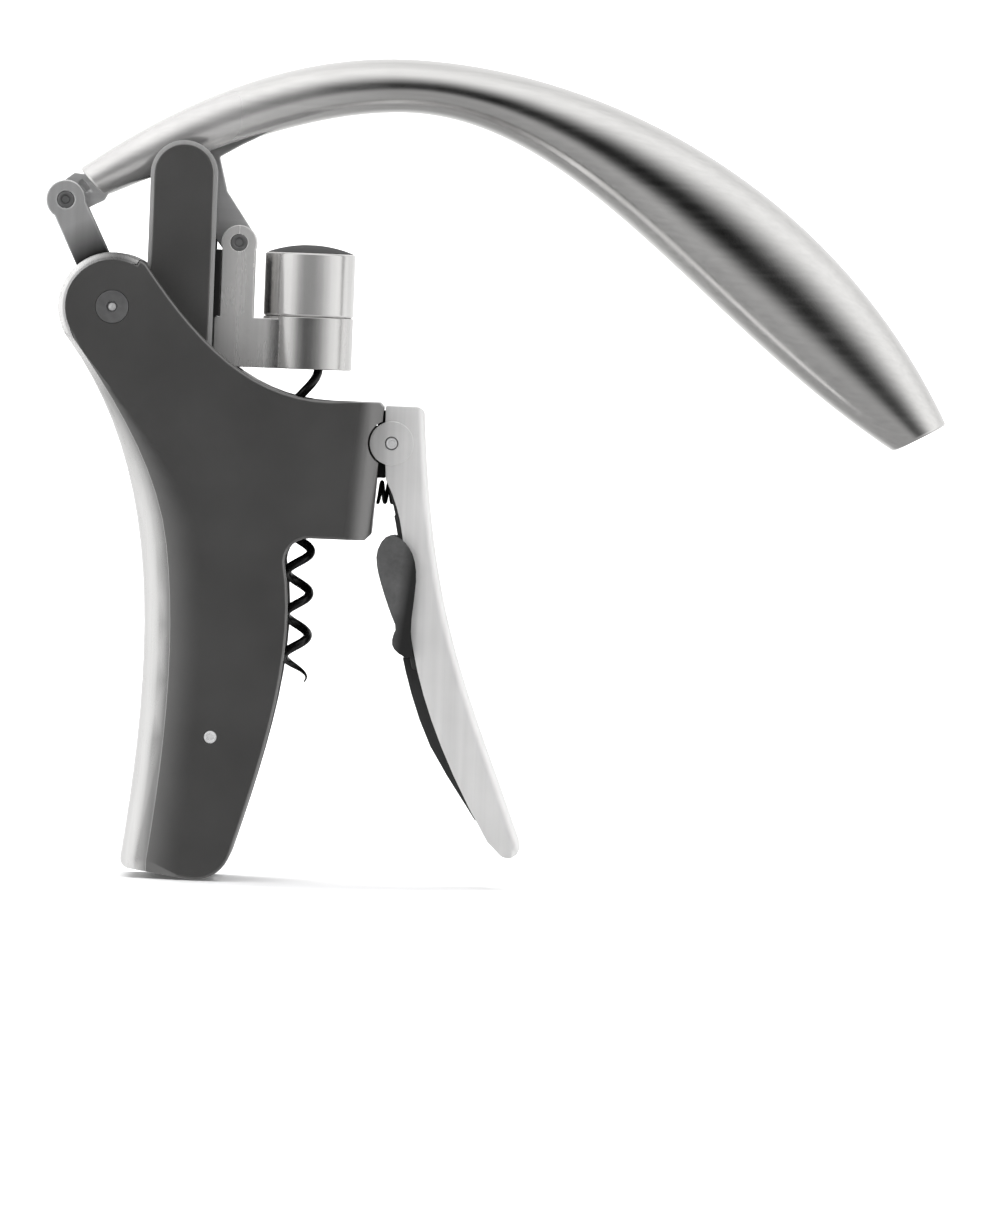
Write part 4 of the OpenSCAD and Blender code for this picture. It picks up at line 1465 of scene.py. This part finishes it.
@dataclass
class Studio:
    """Pale sweep, soft lights, surroundings and the camera."""

    aim: Triple = (0.04634, 0.0, -0.01790)
    distance: float = 3.0
    elevation: float = 1.3
    roll: float = 2.2
    lens: float = 472.4
    sensor: float = 36.0
    clip: Point2 = (0.05, 50.0)
    floor_level: float = -0.0816
    floor_middle: float = -3.3
    floor_size: float = 12.0
    wall_line: float = 2.0
    wall_height: float = 4.0
    cove: float = 1.2
    cove_strips: int = 24
    paper: Point2 = (0.86, 0.89)
    paper_fibre: float = 180.0
    air: Triple = (0.56, 0.56, 0.56 * 1.02)
    glow: float = 1.1
    ground: float = 0.34
    ground_span: Point2 = (-0.26, -0.75)
    left: float = 0.95
    left_share: float = 0.6
    left_span: Point2 = (-0.3, -0.85)
    surround: tuple[Point2, ...] = (
        (-1.0, 0.006), (-0.985, 0.02), (-0.95, 0.08), (-0.9, 0.17), (-0.82, 0.31), (-0.73, 0.46),
        (-0.545, 0.73), (-0.33, 0.92), (0.0, 1.0), (0.25, 0.9), (0.6, 0.76), (1.0, 0.92))
    boxes: tuple[SoftBox, ...] = (
        SoftBox("top_box", (0.0, -0.2, 1.4), (2.6, 2.2), 20.0),
        SoftBox("left_box", (-0.85, -0.85, 0.35), (1.1, 0.9), 6.0),
        SoftBox("right_box", (1.2, -0.3, 0.4), (0.9, 1.1), 2.2),
        SoftBox("back_wash", (0.0, 1.0, 1.6), (3.0, 1.2), 60.0, (0.0, 2.0, -0.1)))

    def sweep(self) -> None:
        """Pale floor that curves up behind."""
        bpy.ops.object.select_all(action="DESELECT")
        spot = (0, self.floor_middle, self.floor_level)
        bpy.ops.mesh.primitive_plane_add(size=1.0, location=spot)
        floor = named("studio_sweep", (self.floor_size, self.floor_size, 1.0))
        with editing(floor):
            pick_points(floor, lambda point: point.co.y > self.wall_line)
            push((0, 0, self.wall_height))
            half = self.wall_height / 2
            pick_points(floor, lambda point: point.co.y > self.wall_line and point.co.z < half)
            bpy.ops.mesh.bevel(offset=self.cove, segments=self.cove_strips, affect="EDGES")
        shade(floor, ROUND_FOLD, weighted=False)
        sheet = FinishSheet("studio_paper")
        fibre = sheet.noise(self.paper_fibre, detail=2.0)
        sheet.feed("Base Color", sheet.mix(fibre, *((level,) * 3 for level in self.paper)))
        sheet.feed("Roughness", 0.9)
        sheet.feed("Specular IOR Level", 0.1)
        sheet.feed("Alpha", sheet.front_only())
        floor.data.materials.append(sheet.material)
        floor.visible_glossy = False

    def world(self) -> None:
        """Pale air; metal sees a dark front that brightens to the sides, and a grey ground."""
        world = bpy.data.worlds.new("studio_air")
        world.use_nodes = True
        world.cycles.sampling_method = "NONE"
        back = world.node_tree.nodes["Background"]
        sheet = NodeSheet(world.node_tree, "Generated")
        around = sheet.ramp(sheet.remap(sheet.axis("Y"), 0.0, 1.0, -1.0, 1.0), self.surround)
        share = sheet.remap(sheet.axis("X"), 0.0, self.left_share, *self.left_span, smooth=True)
        around = sheet.mix(share, around, (self.left,) * 3)
        share = sheet.remap(sheet.axis("Z"), 0.0, 1.0, *self.ground_span, smooth=True)
        around = sheet.mix(share, around, (self.ground,) * 3)
        glossy = sheet.add("ShaderNodeLightPath").outputs["Is Glossy Ray"]
        sheet.join(sheet.mix(glossy, self.air, around), back.inputs["Color"])
        sheet.join(self.glow, back.inputs["Strength"])
        bpy.context.scene.world = world

    def camera(self) -> None:
        """Camera on the photo's angle, with its small roll."""
        lean, tilt = math.radians(self.roll), math.radians(self.elevation)
        look = Vector((0.0, math.cos(tilt), -math.sin(tilt)))
        up = Vector((-math.sin(lean), 0.0, math.cos(lean)))
        right = look.cross(up).normalized()
        up = right.cross(look).normalized()
        data = bpy.data.cameras.new("photo_camera")
        data.lens = self.lens
        data.sensor_width = self.sensor
        data.sensor_fit = "HORIZONTAL"
        data.clip_start, data.clip_end = self.clip
        obj = bpy.data.objects.new("photo_camera", data)
        turn = Matrix((right, up, -look)).transposed()
        spot = Vector(self.aim) - look * self.distance
        obj.matrix_world = Matrix.Translation(spot) @ turn.to_4x4()
        bpy.context.scene.collection.objects.link(obj)
        bpy.context.scene.camera = obj

    def build(self) -> None:
        """Set the whole studio."""
        self.sweep()
        self.world()
        for box in self.boxes:
            box.build()
        self.camera()
        view = bpy.context.scene.view_settings
        view.view_transform = "Standard"
        view.look = "None"


# ---- making


def main() -> None:
    """Build the tool piece by piece and set the studio."""
    logging.basicConfig(level=logging.INFO, format="%(message)s")
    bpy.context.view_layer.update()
    finishes = FinishRack()
    for assembly in (Housing(finishes), Carriage(finishes), Worm(finishes), Lever(finishes),
                     Links(finishes), Trigger(finishes)):
        assembly.build()
        LOG.info("%s built", type(assembly).__name__)
    Studio().build()


if __name__ == "__main__":
    main()
